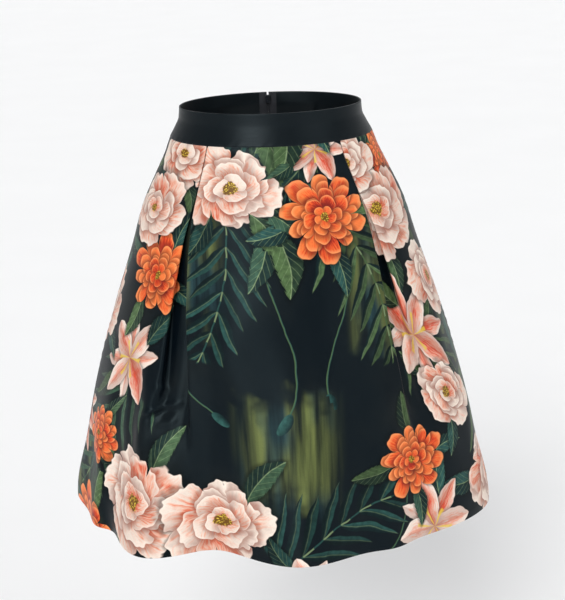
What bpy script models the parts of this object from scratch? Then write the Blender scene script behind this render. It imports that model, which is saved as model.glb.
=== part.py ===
"""A knee-length a-line skirt: inverted box pleats, a plain waistband and a concealed zip at the back.

Metres, +Z up. The origin is the middle of the waist opening, level with the waistband's top edge.
The front faces -Y. Angles go round the waist from the centre front, 0, to the side seams at
-90 (at -X) and +90 degrees, and on to the centre back at 180.
"""

import math
from collections import namedtuple

import bmesh
import bpy
import numpy as np

# Driving sizes.
CLOTH = 0.0012  # the skirt's wall
BAND_WALL = 0.0024  # the waistband is folded double
BAND_HEIGHT = 0.040
SKIRT_LENGTH = 0.520  # waist seam to hem, measured straight down
SEAM_GAP = 0.0003
SIDE_SEAM = 90.0  # degrees
CENTRE_BACK = 180.0
PLEAT_HALF = 0.033  # cloth in half of one pleat, from its edge to its middle
FOLD_STEP = 0.0004  # spacing of the fine line that each section is read from
OVERHANG = 8.0  # degrees that a section is drawn past its seams before it is cut there
PLAIN_ROUNDING = 0.0020  # half the length that the line is averaged over, away from the pleats
PLEAT_STATIONS = 9  # corners that a pleat's section has
PLEAT_FOLDS = (0, 2, 5, 7)  # the first corner of each of its folds
PLEAT_COUNTS = (2, 4, 2)  # spans of the mesh from each fold to the next
LINK_SHARE = 0.42  # the most of the cloth between two folds that each one's bend takes up

# The outer surface's rings, by their drop below the waistband's top edge.
Ring = namedtuple("Ring", "drop half_width half_depth")
RINGS = (
    Ring(0.000, 0.1202, 0.0875),
    Ring(0.014, 0.1212, 0.0885),
    Ring(0.027, 0.1268, 0.0935),
    Ring(0.040, 0.1339, 0.1000),
    Ring(0.060, 0.1415, 0.1062),
    Ring(0.090, 0.1560, 0.1180),
    Ring(0.130, 0.1745, 0.1330),
    Ring(0.190, 0.1935, 0.1480),
    Ring(0.270, 0.2205, 0.1700),
    Ring(0.360, 0.2480, 0.1925),
    Ring(0.460, 0.2715, 0.2115),
    Ring(0.560, 0.2915, 0.2280),
)

# How a pleat opens on its way down: the gap between its edges, how far its inner folds lie under
# the panels, and how deep its middle lies. Folds have two layers, `layer` apart, and each bend is
# rounded over its own length: the pressed edge, the soft edge and the inner folds.
Opening = namedtuple("Opening", "drop gap underlap valley layer pressed soft inner")
OPENINGS = (
    Opening(0.040, 0.0018, 0.01605, 0.0000, 0.0022, 0.0011, 0.0011, 0.0011),
    Opening(0.100, 0.0018, 0.01605, 0.0000, 0.0022, 0.0011, 0.0011, 0.0011),
    Opening(0.120, 0.0035, 0.01550, 0.0005, 0.0022, 0.0012, 0.0013, 0.0013),
    Opening(0.150, 0.0085, 0.01390, 0.0020, 0.0024, 0.0013, 0.0018, 0.0018),
    Opening(0.190, 0.0145, 0.01170, 0.0040, 0.0028, 0.0015, 0.0026, 0.0026),
    Opening(0.220, 0.0200, 0.00960, 0.0060, 0.0030, 0.0016, 0.0034, 0.0035),
    Opening(0.250, 0.0260, 0.00720, 0.0075, 0.0030, 0.0018, 0.0044, 0.0045),
    Opening(0.290, 0.0330, 0.00450, 0.0080, 0.0030, 0.0020, 0.0060, 0.0060),
    Opening(0.330, 0.0400, 0.00100, 0.0080, 0.0026, 0.0022, 0.0080, 0.0080),
    Opening(0.365, 0.0480, -0.0040, 0.0065, 0.0020, 0.0030, 0.0120, 0.0120),
    Opening(0.395, 0.0580, -0.0100, 0.0035, 0.0010, 0.0060, 0.0160, 0.0160),
    Opening(0.425, 0.0640, -0.0145, 0.0012, 0.0005, 0.0110, 0.0180, 0.0180),
    Opening(0.460, 0.0660, -0.0160, 0.0000, 0.0004, 0.0150, 0.0180, 0.0180),
    Opening(0.560, 0.0660, -0.0160, 0.0000, 0.0004, 0.0160, 0.0180, 0.0180),
)

# The path of each pleat's pressed edge, the edge nearer the centre front or the centre back.
Edge = namedtuple("Edge", "drop angle")
FRONT_LEFT_EDGE = (
    Edge(0.040, -39.2),
    Edge(0.160, -38.2),
    Edge(0.228, -35.8),
    Edge(0.338, -31.0),
    Edge(0.450, -29.0),
    Edge(0.560, -31.0),
)
FRONT_RIGHT_EDGE = (
    Edge(0.040, 39.2),
    Edge(0.100, 40.6),
    Edge(0.176, 41.5),
    Edge(0.290, 39.5),
    Edge(0.560, 41.0),
)
BACK_RIGHT_EDGE = (
    Edge(0.040, 141.0),
    Edge(0.180, 140.0),
    Edge(0.330, 143.0),
    Edge(0.560, 143.5),
)
BACK_LEFT_EDGE = (
    Edge(0.040, -141.0),
    Edge(0.180, -140.0),
    Edge(0.330, -142.0),
    Edge(0.560, -141.0),
)

# The hem's soft crests and valleys, all round: how far each stands out, and how far the hem rises.
Wave = namedtuple("Wave", "angle out rise")
WAVES = (
    Wave(-184.0, -0.008, 0.000),
    Wave(-163.0, 0.008, 0.000),
    Wave(-143.0, -0.020, 0.002),
    Wave(-120.0, 0.009, 0.004),
    Wave(-106.0, -0.002, 0.008),
    Wave(-94.0, 0.002, 0.010),
    Wave(-78.0, -0.012, 0.005),
    Wave(-68.0, -0.008, 0.001),
    Wave(-61.5, -0.021, 0.000),
    Wave(-41.0, 0.013, 0.000),
    Wave(-22.0, -0.043, 0.000),
    Wave(3.0, 0.005, 0.000),
    Wave(22.0, -0.013, 0.000),
    Wave(29.0, -0.008, 0.000),
    Wave(38.0, -0.016, 0.000),
    Wave(72.0, 0.002, 0.000),
    Wave(104.0, -0.010, 0.000),
    Wave(124.0, 0.010, 0.000),
    Wave(142.0, -0.018, 0.001),
    Wave(161.0, 0.009, 0.000),
    Wave(176.0, -0.008, 0.000),
    Wave(197.0, 0.008, 0.000),
)
WAVES_START = 0.240  # the drop where the hem's waves begin
WAVES_RISE = 1.5  # the power of their growth

# Where the sections of the solids lie.
BAND_LEVELS = (0.0, 0.006, 0.0150, 0.0185, 0.027, 0.0335, 0.040)
SKIRT_TOP_LEVELS = (0.040, 0.068, 0.095, 0.120, 0.148, 0.180, 0.215, 0.250)
SKIRT_LEVELS = (*SKIRT_TOP_LEVELS, 0.290, 0.330, 0.375, 0.420, 0.465, 0.510, 0.560)

# The zip: a tape with a closed coil on the inside, a slider at its top and a pull tab outside.
ZIP_BOTTOM = 0.200
TAPE_WIDTH = 0.024
TAPE_WALL = 0.0008
TAPE_GAP = 0.0005
TAPE_EASE = (0.044, 0.059)  # it moves out here, from behind the band to behind the skirt
TAPE_EASE_MIDDLE = 0.055
COIL_WIDTH = 0.0050
COIL_WALL = 0.0022
COIL_SINK = 0.0003  # how far the coil reaches into the tape, so that they are one body
COIL_BOTTOM = 0.196
ZIP_SLIT = 0.0026  # the opening that the band's edges leave for the slider's neck
SLIT_BOTTOM = 0.0150
FORK_REACH = 0.02  # more than the tape's depth, so that its fork is cut right through
SLIDER_DROP = 0.0090
SLIDER_BODY = (0.0070, 0.0030, 0.0110)
SLIDER_ROUNDING = 0.0006
NECK_WIDTH = 0.0016
NECK_HEIGHT = 0.0042
LUG_RADIUS = 0.0023
LUG_HOLE = 0.0011
LUG_STAND = 0.0016  # the pull's axis, outside the band's face
PULL_LENGTH = 0.0200
PULL_WALL = 0.0010
PULL_TIP_RADIUS = 0.0029
WINDOW_WIDTH = 0.0028
WINDOW_LENGTH = 0.0026

# The pull tab's side, from the bar in the slider's lug down to the round of its tip.
Side = namedtuple("Side", "half_width drop")
PULL_SIDE = (Side(0.0023, -0.0005), Side(0.0023, 0.0040), Side(0.0015, 0.0075))


def read(rows, column, where):
    """A smooth reading of one column between the rows, with no overshoot."""
    places = np.array([row[0] for row in rows])
    values = np.array([getattr(row, column) for row in rows])
    spans = np.diff(places)
    rates = np.diff(values) / spans
    slopes = np.zeros(len(rows))
    same_way = rates[:-1] * rates[1:] > 0
    both = np.where(same_way, rates[:-1] + rates[1:], 1.0)
    slopes[1:-1] = np.where(same_way, 2 * rates[:-1] * rates[1:] / both, 0.0)
    index = np.clip(np.searchsorted(places, where) - 1, 0, len(spans) - 1)
    span = spans[index]
    part = np.clip((where - places[index]) / span, 0, 1)
    start = (1 + 2 * part) * (1 - part) ** 2 * values[index]
    end = part**2 * (3 - 2 * part) * values[index + 1]
    lean = part * (1 - part) ** 2 * slopes[index] - part**2 * (1 - part) * slopes[index + 1]
    return start + end + lean * span


def ring_points(drop, angles, depths, wall):
    """Points of one ring's middle surface, moved inwards by their depths."""
    turns = np.radians(angles)
    half_width = read(RINGS, "half_width", drop) - wall / 2
    half_depth = read(RINGS, "half_depth", drop) - wall / 2
    outward = np.stack([np.sin(turns) / half_width, -np.cos(turns) / half_depth], axis=-1)
    outward /= np.linalg.norm(outward, axis=-1, keepdims=True)
    growth = max(0.0, (drop - WAVES_START) / (BAND_HEIGHT + SKIRT_LENGTH - WAVES_START))
    stand = read(WAVES, "out", angles) * growth**WAVES_RISE - depths
    flat = np.stack([half_width * np.sin(turns), -half_depth * np.cos(turns)], axis=-1)
    flat += outward * stand[..., None]
    reach = max(0.0, drop - BAND_HEIGHT) / SKIRT_LENGTH
    heights = -drop + read(WAVES, "rise", angles) * reach
    return np.concatenate([flat, heights[..., None]], axis=-1)


def fold_depth(half_gap, underlap, valley):
    """How deep the inner fold lies, so that half a pleat keeps its length of cloth."""
    low = 0.0
    high = PLEAT_HALF
    for _ in range(40):
        depth = (low + high) / 2
        length = math.hypot(underlap, depth) + math.hypot(underlap + half_gap, depth - valley)
        if length < PLEAT_HALF:
            low = depth
        else:
            high = depth
    return depth


def pleat_stations(drop, edge_rows, pressed_last):
    """One inverted box pleat as (angle, depth, rounding) stations, in order of rising angle."""
    gap, underlap, valley, layer, pressed, soft, inner = (
        float(read(OPENINGS, column, drop)) for column in Opening._fields[1:]
    )
    edge = float(read(edge_rows, "angle", drop))
    turn = math.radians(edge)
    half_width = float(read(RINGS, "half_width", drop))
    half_depth = float(read(RINGS, "half_depth", drop))
    per_degree = math.radians(math.hypot(half_width * math.cos(turn), half_depth * math.sin(turn)))
    half_gap = gap / 2
    depth = fold_depth(half_gap, underlap, valley)
    middle = edge - half_gap / per_degree if pressed_last else edge + half_gap / per_degree
    first, last = (soft, pressed) if pressed_last else (pressed, soft)
    tuck = half_gap + underlap
    across = (
        (-half_gap, 0.0, first),
        (-half_gap, layer, first),
        (-tuck, depth + layer, inner),
        (-tuck, depth + 2 * layer, inner),
        (0.0, valley + 2 * layer, inner),
        (tuck, depth + 2 * layer, inner),
        (tuck, depth + layer, inner),
        (half_gap, layer, last),
        (half_gap, 0.0, last),
    )
    return [(middle + along / per_degree, deep, bend) for along, deep, bend in across]


class Section:
    """The cloth's middle line at one drop: a fine line through stations, its bends rounded."""

    def __init__(self, drop, start, end, pleats, wall):
        stations = [(start - OVERHANG, 0.0, PLAIN_ROUNDING), (start, 0.0, PLAIN_ROUNDING)]
        for pleat in pleats:
            stations += pleat
        stations += [(end, 0.0, PLAIN_ROUNDING), (end + OVERHANG, 0.0, PLAIN_ROUNDING)]
        corners = ring_points(
            drop,
            np.array([station[0] for station in stations]),
            np.array([station[1] for station in stations]),
            wall,
        )
        lengths = np.linalg.norm(np.diff(corners, axis=0), axis=1)
        angles = []
        depths = []
        marks = [0]
        for (angle, depth, _), (next_angle, next_depth, _), length in zip(
            stations, stations[1:], lengths
        ):
            count = max(3, math.ceil(length / FOLD_STEP))
            parts = np.arange(count) / count
            angles.append(angle + (next_angle - angle) * parts)
            depths.append(depth + (next_depth - depth) * parts)
            marks.append(marks[-1] + count)
        angles.append([stations[-1][0]])
        depths.append([stations[-1][1]])
        line = ring_points(drop, np.concatenate(angles), np.concatenate(depths), wall)
        steps = np.linalg.norm(np.diff(line, axis=0), axis=1)
        self.arcs = np.concatenate([[0.0], np.cumsum(steps)])
        self.marks = self.arcs[marks]
        self.bends = np.array([station[2] for station in stations])
        areas = (line[1:] + line[:-1]) / 2 * steps[:, None]
        self.sums = np.concatenate([np.zeros((1, 3)), np.cumsum(areas, axis=0)])

    def seams(self):
        """The arc lengths of the piece's two ends."""
        return self.marks[1], self.marks[-2]

    def folds(self):
        """The arc length of each fold's middle and the half length that its bend takes up."""
        found = []
        for first in range(2, len(self.marks) - 2, PLEAT_STATIONS):
            marks = self.marks[first : first + PLEAT_STATIONS]
            room = LINK_SHARE * min(marks[2] - marks[1], marks[7] - marks[6])
            for corner in PLEAT_FOLDS:
                half_layer = (marks[corner + 1] - marks[corner]) / 2
                half_bend = min(self.bends[first + corner], room)
                found.append((marks[corner] + half_layer, half_layer + half_bend))
        return found

    def read_at(self, arcs, sums):
        """The running sums along the section at some arc lengths."""
        return np.stack([np.interp(arcs, self.arcs, sums[:, axis]) for axis in range(3)], axis=-1)

    def rounded(self, arcs):
        """Points on the line with each bend rounded: the line's mean over the bend's length."""
        bends = np.interp(arcs, self.marks, self.bends)
        ends = [self.read_at(arcs + side * bends, self.sums) for side in (-1, 1)]
        return (ends[1] - ends[0]) / (2 * bends[:, None])

    def row(self, arcs):
        """Rounded points and the outward directions there."""
        along = self.rounded(arcs + FOLD_STEP) - self.rounded(arcs - FOLD_STEP)
        outward = np.stack([along[:, 1], -along[:, 0], np.zeros(len(arcs))], axis=-1)
        outward /= np.linalg.norm(outward, axis=1, keepdims=True)
        return self.rounded(arcs), outward


def sample_arcs(section, panel_counts):
    """Arc lengths of a section's points: even on the panels, close together round each fold."""
    start, end = section.seams()
    counts = []
    for panel_count in panel_counts[:-1]:
        counts += [panel_count, *PLEAT_COUNTS]
    arcs = [start + SEAM_GAP / 2]
    for count, (middle, half) in zip(counts, section.folds()):
        arcs += list(np.linspace(arcs[-1], middle - half, count + 1)[1:])
        arcs += [middle - half / 2, middle, middle + half / 2, middle + half]
    arcs += list(np.linspace(arcs[-1], end - SEAM_GAP / 2, panel_counts[-1] + 1)[1:])
    return np.array(arcs)


def wall_object(name, rows, wall, material):
    """A closed wall lofted through rows of (points, outward directions), top row first."""
    sides = []
    for side in (0.5, -0.5):
        sides.append(np.array([points + outward * wall * side for points, outward in rows]))
    levels, count = sides[0].shape[:2]
    outer = np.arange(levels * count).reshape(levels, count)
    inner = outer + levels * count
    faces = []

    def strip(upper, lower, turned=False):
        for a, b, c, d in zip(upper, upper[1:], lower[1:], lower):
            pair = ((a, d, c), (a, c, b))
            faces.extend(face[::-1] if turned else face for face in pair)

    for level in range(levels - 1):
        strip(outer[level], outer[level + 1])
        strip(inner[level], inner[level + 1], turned=True)
    strip(inner[0], outer[0])
    strip(outer[-1], inner[-1])
    strip(outer[:, 0], inner[:, 0])
    strip(inner[:, -1], outer[:, -1])
    points = np.concatenate([side.reshape(-1, 3) for side in sides])
    mesh = bpy.data.meshes.new(name)
    mesh.from_pydata([tuple(point) for point in points], [], faces)
    mesh.update()
    return add_object(name, mesh, material)


def add_object(name, mesh, material):
    """A named object in the skirt's collection."""
    thing = bpy.data.objects.new(name, mesh)
    mesh.materials.append(material)
    bpy.data.collections["a_line_skirt"].objects.link(thing)
    return thing


def finish(name, colour, roughness, metallic=0.0):
    """A plain Principled material."""
    material = bpy.data.materials.new(name)
    material.use_nodes = True
    shader = material.node_tree.nodes["Principled BSDF"]
    shader.inputs["Base Color"].default_value = (*colour, 1.0)
    shader.inputs["Roughness"].default_value = roughness
    shader.inputs["Metallic"].default_value = metallic
    return material


def skirt_panel(name, start, end, pleats, panel_counts, material):
    """One cut piece of the skirt, with its pleats, from seam to seam."""
    rows = []
    for drop in SKIRT_LEVELS:
        stations = [pleat_stations(drop, edge, pressed_last) for edge, pressed_last in pleats]
        section = Section(drop, start, end, stations, CLOTH)
        points, outward = section.row(sample_arcs(section, panel_counts))
        if drop == BAND_HEIGHT:
            points[:, 2] -= SEAM_GAP
        rows.append((points, outward))
    return wall_object(name, rows, CLOTH, material)


def band_piece(name, start, end, slit_ends, count, material):
    """One stretch of the waistband. The ends named in slit_ends stand back round the slider."""
    rows = []
    for drop in BAND_LEVELS:
        section = Section(drop, start, end, [], BAND_WALL)
        first, last = section.seams()
        slit = ZIP_SLIT / 2 if drop <= SLIT_BOTTOM else SEAM_GAP / 2
        trims = [slit if end_name in slit_ends else SEAM_GAP / 2 for end_name in ("first", "last")]
        rows.append(section.row(np.linspace(first + trims[0], last - trims[1], count)))
    return wall_object(name, rows, BAND_WALL, material)


def centre_back_inside(drop):
    """How far the tape's outer face lies inside the skirt's outer surface at the centre back."""
    inside_band = BAND_WALL + TAPE_GAP
    inside_skirt = CLOTH + TAPE_GAP
    return np.interp(drop, TAPE_EASE, (inside_band, inside_skirt))


def tape_strip(name, half_width, depth, wall, drops, material):
    """A strip along the inside of the centre back, its faces a set depth inside the surface."""
    rows = []
    across = np.linspace(-half_width, half_width, 7)
    for drop in drops:
        per_degree = math.radians(float(read(RINGS, "half_width", drop)))
        angles = CENTRE_BACK + across / per_degree
        inside = np.full(len(across), centre_back_inside(drop) + depth + wall / 2)
        points = ring_points(drop, angles, inside, 0.0)
        turns = np.radians(angles)
        outward = np.stack([np.sin(turns), -np.cos(turns), np.zeros(len(turns))], axis=-1)
        rows.append((points, outward))
    return wall_object(name, rows, wall, material)


def add_primitive(name, material, make):
    """An object whose mesh one bmesh call makes."""
    shape = bmesh.new()
    make(shape)
    mesh = bpy.data.meshes.new(name)
    shape.to_mesh(mesh)
    shape.free()
    return add_object(name, mesh, material)


def combine(target, other, operation):
    """A Boolean modifier on target. The other object is kept as a hidden cutter or helper."""
    modifier = target.modifiers.new(operation.title(), "BOOLEAN")
    modifier.operation = operation
    modifier.object = other
    other.hide_render = True
    other.display_type = "WIRE"
    bpy.data.collections["a_line_skirt"].objects.unlink(other)
    bpy.data.collections["helpers"].objects.link(other)


def box(name, size, middle, material):
    """A box of a size round a middle point."""

    def make(shape):
        bmesh.ops.create_cube(shape, size=1.0)
        bmesh.ops.scale(shape, vec=size, verts=shape.verts)
        bmesh.ops.translate(shape, vec=middle, verts=shape.verts)

    return add_primitive(name, material, make)


def disc(name, radius, width, middle, material, segments=28):
    """A disc whose axis runs along X."""

    def make(shape):
        bmesh.ops.create_cone(
            shape,
            cap_ends=True,
            segments=segments,
            radius1=radius,
            radius2=radius,
            depth=width,
        )
        points = [(point.co.z, point.co.x, point.co.y) for point in shape.verts]
        for vertex, point in zip(shape.verts, points):
            vertex.co = (point[0] + middle[0], point[1] + middle[1], point[2] + middle[2])

    return add_primitive(name, material, make)


def zip_tape(material):
    """The tape pair with its closed coil, forked at the top for the slider's neck."""
    levels = sorted(set(BAND_LEVELS[1:]) | set(SKIRT_LEVELS) | {TAPE_EASE_MIDDLE, ZIP_BOTTOM})
    drops = [TAPE_GAP] + [drop for drop in levels if drop <= ZIP_BOTTOM]
    tape = tape_strip("zip_tape", TAPE_WIDTH / 2, 0.0, TAPE_WALL, drops, material)
    coil_top = SLIDER_DROP + SLIDER_BODY[2] / 2 + SEAM_GAP
    coil_drops = [coil_top] + [drop for drop in drops if coil_top < drop < COIL_BOTTOM]
    coil_drops.append(COIL_BOTTOM)
    coil_depth = TAPE_WALL - COIL_SINK
    coil = tape_strip("zip_coil", COIL_WIDTH / 2, coil_depth, COIL_WALL, coil_drops, material)
    middle = (0.0, float(read(RINGS, "half_depth", 0.0)), -SLIT_BOTTOM / 2)
    fork = box("zip_fork", (ZIP_SLIT, FORK_REACH, SLIT_BOTTOM), middle, material)
    combine(tape, coil, "UNION")
    combine(tape, fork, "DIFFERENCE")
    return tape


def slider_axis():
    """The pull tab's hinge point, on the outside of the centre back."""
    face = float(read(RINGS, "half_depth", SLIDER_DROP))
    return (0.0, face + LUG_STAND, -SLIDER_DROP)


def zip_slider(material):
    """The slider: a body inside the tape, a neck through the slit and a ring lug outside."""
    axis = slider_axis()
    face = float(read(RINGS, "half_depth", SLIDER_DROP - SLIDER_BODY[2] / 2))
    body_out = face - BAND_WALL - TAPE_GAP - TAPE_WALL - SEAM_GAP
    body_middle = (0.0, body_out - SLIDER_BODY[1] / 2, axis[2])
    slider = box("zip_slider", SLIDER_BODY, body_middle, material)
    rounding = slider.modifiers.new("Bevel", "BEVEL")
    rounding.width = SLIDER_ROUNDING
    rounding.segments = 2
    lug = disc("zip_lug", LUG_RADIUS, NECK_WIDTH, axis, material)
    neck_ends = (body_middle[1], axis[1] - (LUG_HOLE + LUG_RADIUS) / 2)
    neck_size = (NECK_WIDTH, neck_ends[1] - neck_ends[0], NECK_HEIGHT)
    neck_middle = (0.0, sum(neck_ends) / 2, axis[2])
    neck = box("zip_neck", neck_size, neck_middle, material)
    hole = disc("zip_lug_hole", LUG_HOLE, 3 * NECK_WIDTH, axis, material, segments=20)
    combine(slider, neck, "UNION")
    combine(slider, lug, "UNION")
    combine(slider, hole, "DIFFERENCE")
    return slider


def pull_lean():
    """The angle from straight down at which the pull tab lies on the band."""
    axis = slider_axis()
    tip_drop = SLIDER_DROP + PULL_LENGTH
    tip_face = float(read(RINGS, "half_depth", tip_drop)) + PULL_WALL / 2 + SEAM_GAP
    return math.atan2(tip_face - axis[1], PULL_LENGTH)


def zip_pull(material):
    """The pull tab: a flat drop with a window whose end bar turns in the slider's lug."""
    outline = bpy.data.curves.new("zip_pull", "CURVE")
    outline.dimensions = "2D"
    outline.fill_mode = "BOTH"
    outline.extrude = PULL_WALL / 2
    tip_middle = PULL_LENGTH - PULL_TIP_RADIUS
    tip = [
        (PULL_TIP_RADIUS * math.cos(turn), -tip_middle - PULL_TIP_RADIUS * math.sin(turn))
        for turn in np.linspace(0, math.pi, 13)
    ]
    side = [(place.half_width, -place.drop) for place in PULL_SIDE]
    left = -WINDOW_WIDTH / 2
    right = WINDOW_WIDTH / 2
    top = -PULL_WALL / 2
    bottom = top - WINDOW_LENGTH
    loops = (
        side + tip + [(-x, y) for x, y in reversed(side)],
        [(right, top), (left, top), (left, bottom), (right, bottom)],
    )
    for loop in loops:
        spline = outline.splines.new("POLY")
        spline.points.add(len(loop) - 1)
        for point, (x, y) in zip(spline.points, loop):
            point.co = (x, y, 0.0, 1.0)
        spline.use_cyclic_u = True
    flat = bpy.data.objects.new("zip_pull_outline", outline)
    bpy.data.collections["helpers"].objects.link(flat)
    bpy.context.view_layer.update()
    graph = bpy.context.evaluated_depsgraph_get()
    mesh = bpy.data.meshes.new_from_object(flat.evaluated_get(graph))
    bpy.data.objects.remove(flat)
    shape = bmesh.new()
    shape.from_mesh(mesh)
    bmesh.ops.remove_doubles(shape, verts=shape.verts, dist=1e-6)
    shape.to_mesh(mesh)
    shape.free()
    mesh.name = "zip_pull"
    pull = add_object("zip_pull", mesh, material)
    pull.location = slider_axis()
    pull.rotation_euler = (math.pi / 2 + pull_lean(), 0.0, 0.0)
    return pull


def build():
    """Clears the scene and builds every piece of the skirt."""
    for thing in list(bpy.data.objects):
        bpy.data.objects.remove(thing, do_unlink=True)
    for name in ("a_line_skirt", "helpers"):
        bpy.context.scene.collection.children.link(bpy.data.collections.new(name))
    satin = finish("printed_satin", (0.030, 0.040, 0.052), 0.42)
    band = finish("band_satin", (0.012, 0.016, 0.022), 0.48)
    tape = finish("zip_tape", (0.010, 0.012, 0.016), 0.75)
    metal = finish("zip_metal", (0.020, 0.022, 0.026), 0.35, 0.8)
    front_pleats = [(FRONT_LEFT_EDGE, True), (FRONT_RIGHT_EDGE, False)]
    right_pleat = [(BACK_RIGHT_EDGE, True)]
    left_pleat = [(BACK_LEFT_EDGE, False)]
    skirt_panel("skirt_front", -SIDE_SEAM, SIDE_SEAM, front_pleats, (7, 10, 7), satin)
    skirt_panel("skirt_back_right", SIDE_SEAM, CENTRE_BACK, right_pleat, (7, 6), satin)
    skirt_panel("skirt_back_left", -CENTRE_BACK, -SIDE_SEAM, left_pleat, (6, 7), satin)
    band_piece("waistband_front", -SIDE_SEAM, SIDE_SEAM, (), 25, band)
    band_piece("waistband_back_right", SIDE_SEAM, CENTRE_BACK, ("last",), 14, band)
    band_piece("waistband_back_left", -CENTRE_BACK, -SIDE_SEAM, ("first",), 14, band)
    zip_tape(tape)
    zip_slider(metal)
    zip_pull(metal)


build()
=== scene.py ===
"""Looks of a knee-length a-line skirt: printed satin in inverted box pleats, a plain waistband,
a concealed zip at the centre back, and the sewing that holds them together.

Metres, +Z up. The origin is the middle of the waist opening, level with the waistband's top edge,
and the front faces -Y. A drop is a depth below that edge. Angles go round the waist in degrees
from the centre front, 0, to the side seams at -90 and +90, and on to the centre back at 180.
Cloth coordinates are metres on the flat cloth: x to the right as seen from outside, y down from
the waist seam.
"""

import sys

import logging
import math
from dataclasses import dataclass
from enum import Enum
from itertools import product
from typing import Callable, NamedTuple, Sequence

import bpy
import numpy as np
from mathutils import Matrix


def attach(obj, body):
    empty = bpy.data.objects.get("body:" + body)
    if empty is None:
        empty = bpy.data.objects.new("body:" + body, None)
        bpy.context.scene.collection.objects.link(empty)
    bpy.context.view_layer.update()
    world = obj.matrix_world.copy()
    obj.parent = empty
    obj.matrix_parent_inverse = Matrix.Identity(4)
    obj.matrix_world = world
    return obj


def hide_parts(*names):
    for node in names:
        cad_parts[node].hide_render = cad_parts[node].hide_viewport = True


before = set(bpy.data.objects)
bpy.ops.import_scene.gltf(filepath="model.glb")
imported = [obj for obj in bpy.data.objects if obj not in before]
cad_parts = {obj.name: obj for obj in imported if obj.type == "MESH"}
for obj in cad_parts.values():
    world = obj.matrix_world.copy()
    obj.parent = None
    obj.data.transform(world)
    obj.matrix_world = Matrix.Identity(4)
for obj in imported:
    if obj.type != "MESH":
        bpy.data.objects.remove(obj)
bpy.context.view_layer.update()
log = logging.getLogger("skirt")

Number = float | int
Colour = tuple[float, float, float]
Path = tuple[np.ndarray, np.ndarray]

SIDE_SEAM = 90.0
CENTRE_BACK = 180.0
BAND_HEIGHT = 0.040
BAND_WALL = 0.0024
SKIRT_BOTTOM = 0.560
SEAM_GAP = 0.0003
# The wider gap at the centre back, round the zip's slider, and the drop of its lower end.
SLIT = 0.0026
SLIT_BOTTOM = 0.0150


# ---------------------------------------------------------------- the skirt's form


class Table:
    """Rows of numbers that are read smoothly between their rising first values."""

    def __init__(self, columns: str, *rows: tuple[float, ...]) -> None:
        """Names every column after the first."""
        self.places, *values = np.array(rows).T
        self.columns = dict(zip(columns.split(), values))

    def read(self, column: str, where: np.ndarray | Number) -> np.ndarray:
        """A column's values at some places, with no overshoot between the rows.

        Args:
            column: Which column.
            where: The places.

        Returns:
            The column's value at each place.
        """
        places, values = self.places, self.columns[column]
        spans = np.diff(places)
        rates = np.diff(values) / spans
        slopes = np.zeros(len(places))
        same_way = rates[:-1] * rates[1:] > 0
        both = np.where(same_way, rates[:-1] + rates[1:], 1.0)
        slopes[1:-1] = np.where(same_way, 2 * rates[:-1] * rates[1:] / both, 0.0)
        index = np.clip(np.searchsorted(places, where) - 1, 0, len(spans) - 1)
        span = spans[index]
        part = np.clip((where - places[index]) / span, 0, 1)
        start = (1 + 2 * part) * (1 - part) ** 2 * values[index]
        end = part**2 * (3 - 2 * part) * values[index + 1]
        lean = part * (1 - part) ** 2 * slopes[index] - part**2 * (1 - part) * slopes[index + 1]
        return start + end + lean * span

    def row(self, where: float) -> list[float]:
        """Every column's value at one place."""
        return [float(self.read(column, where)) for column in self.columns]


class Pleat(NamedTuple):
    """A pleat's pressed edge, and whether that edge has the pleat's larger angle."""

    edge: Table
    pressed_last: bool


# The outer surface at each drop.
RINGS = Table(
    "half_width half_depth",
    (0.000, 0.1202, 0.0875), (0.014, 0.1212, 0.0885), (0.027, 0.1268, 0.0935),
    (0.040, 0.1339, 0.1000), (0.060, 0.1415, 0.1062), (0.090, 0.1560, 0.1180),
    (0.130, 0.1745, 0.1330), (0.190, 0.1935, 0.1480), (0.270, 0.2205, 0.1700),
    (0.360, 0.2480, 0.1925), (0.460, 0.2715, 0.2115), (0.560, 0.2915, 0.2280),
)
# How far a pleat has opened at each drop, and how softly its folds bend.
OPENINGS = Table(
    "gap underlap valley layer pressed soft inner",
    (0.040, 0.0018, 0.01605, 0.0000, 0.0022, 0.0011, 0.0011, 0.0011),
    (0.100, 0.0018, 0.01605, 0.0000, 0.0022, 0.0011, 0.0011, 0.0011),
    (0.120, 0.0035, 0.01550, 0.0005, 0.0022, 0.0012, 0.0013, 0.0013),
    (0.150, 0.0085, 0.01390, 0.0020, 0.0024, 0.0013, 0.0018, 0.0018),
    (0.190, 0.0145, 0.01170, 0.0040, 0.0028, 0.0015, 0.0026, 0.0026),
    (0.220, 0.0200, 0.00960, 0.0060, 0.0030, 0.0016, 0.0034, 0.0035),
    (0.250, 0.0260, 0.00720, 0.0075, 0.0030, 0.0018, 0.0044, 0.0045),
    (0.290, 0.0330, 0.00450, 0.0080, 0.0030, 0.0020, 0.0060, 0.0060),
    (0.330, 0.0400, 0.00100, 0.0080, 0.0026, 0.0022, 0.0080, 0.0080),
    (0.365, 0.0480, -0.0040, 0.0065, 0.0020, 0.0030, 0.0120, 0.0120),
    (0.395, 0.0580, -0.0100, 0.0035, 0.0010, 0.0060, 0.0160, 0.0160),
    (0.425, 0.0640, -0.0145, 0.0012, 0.0005, 0.0110, 0.0180, 0.0180),
    (0.460, 0.0660, -0.0160, 0.0000, 0.0004, 0.0150, 0.0180, 0.0180),
    (0.560, 0.0660, -0.0160, 0.0000, 0.0004, 0.0160, 0.0180, 0.0180),
)
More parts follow.
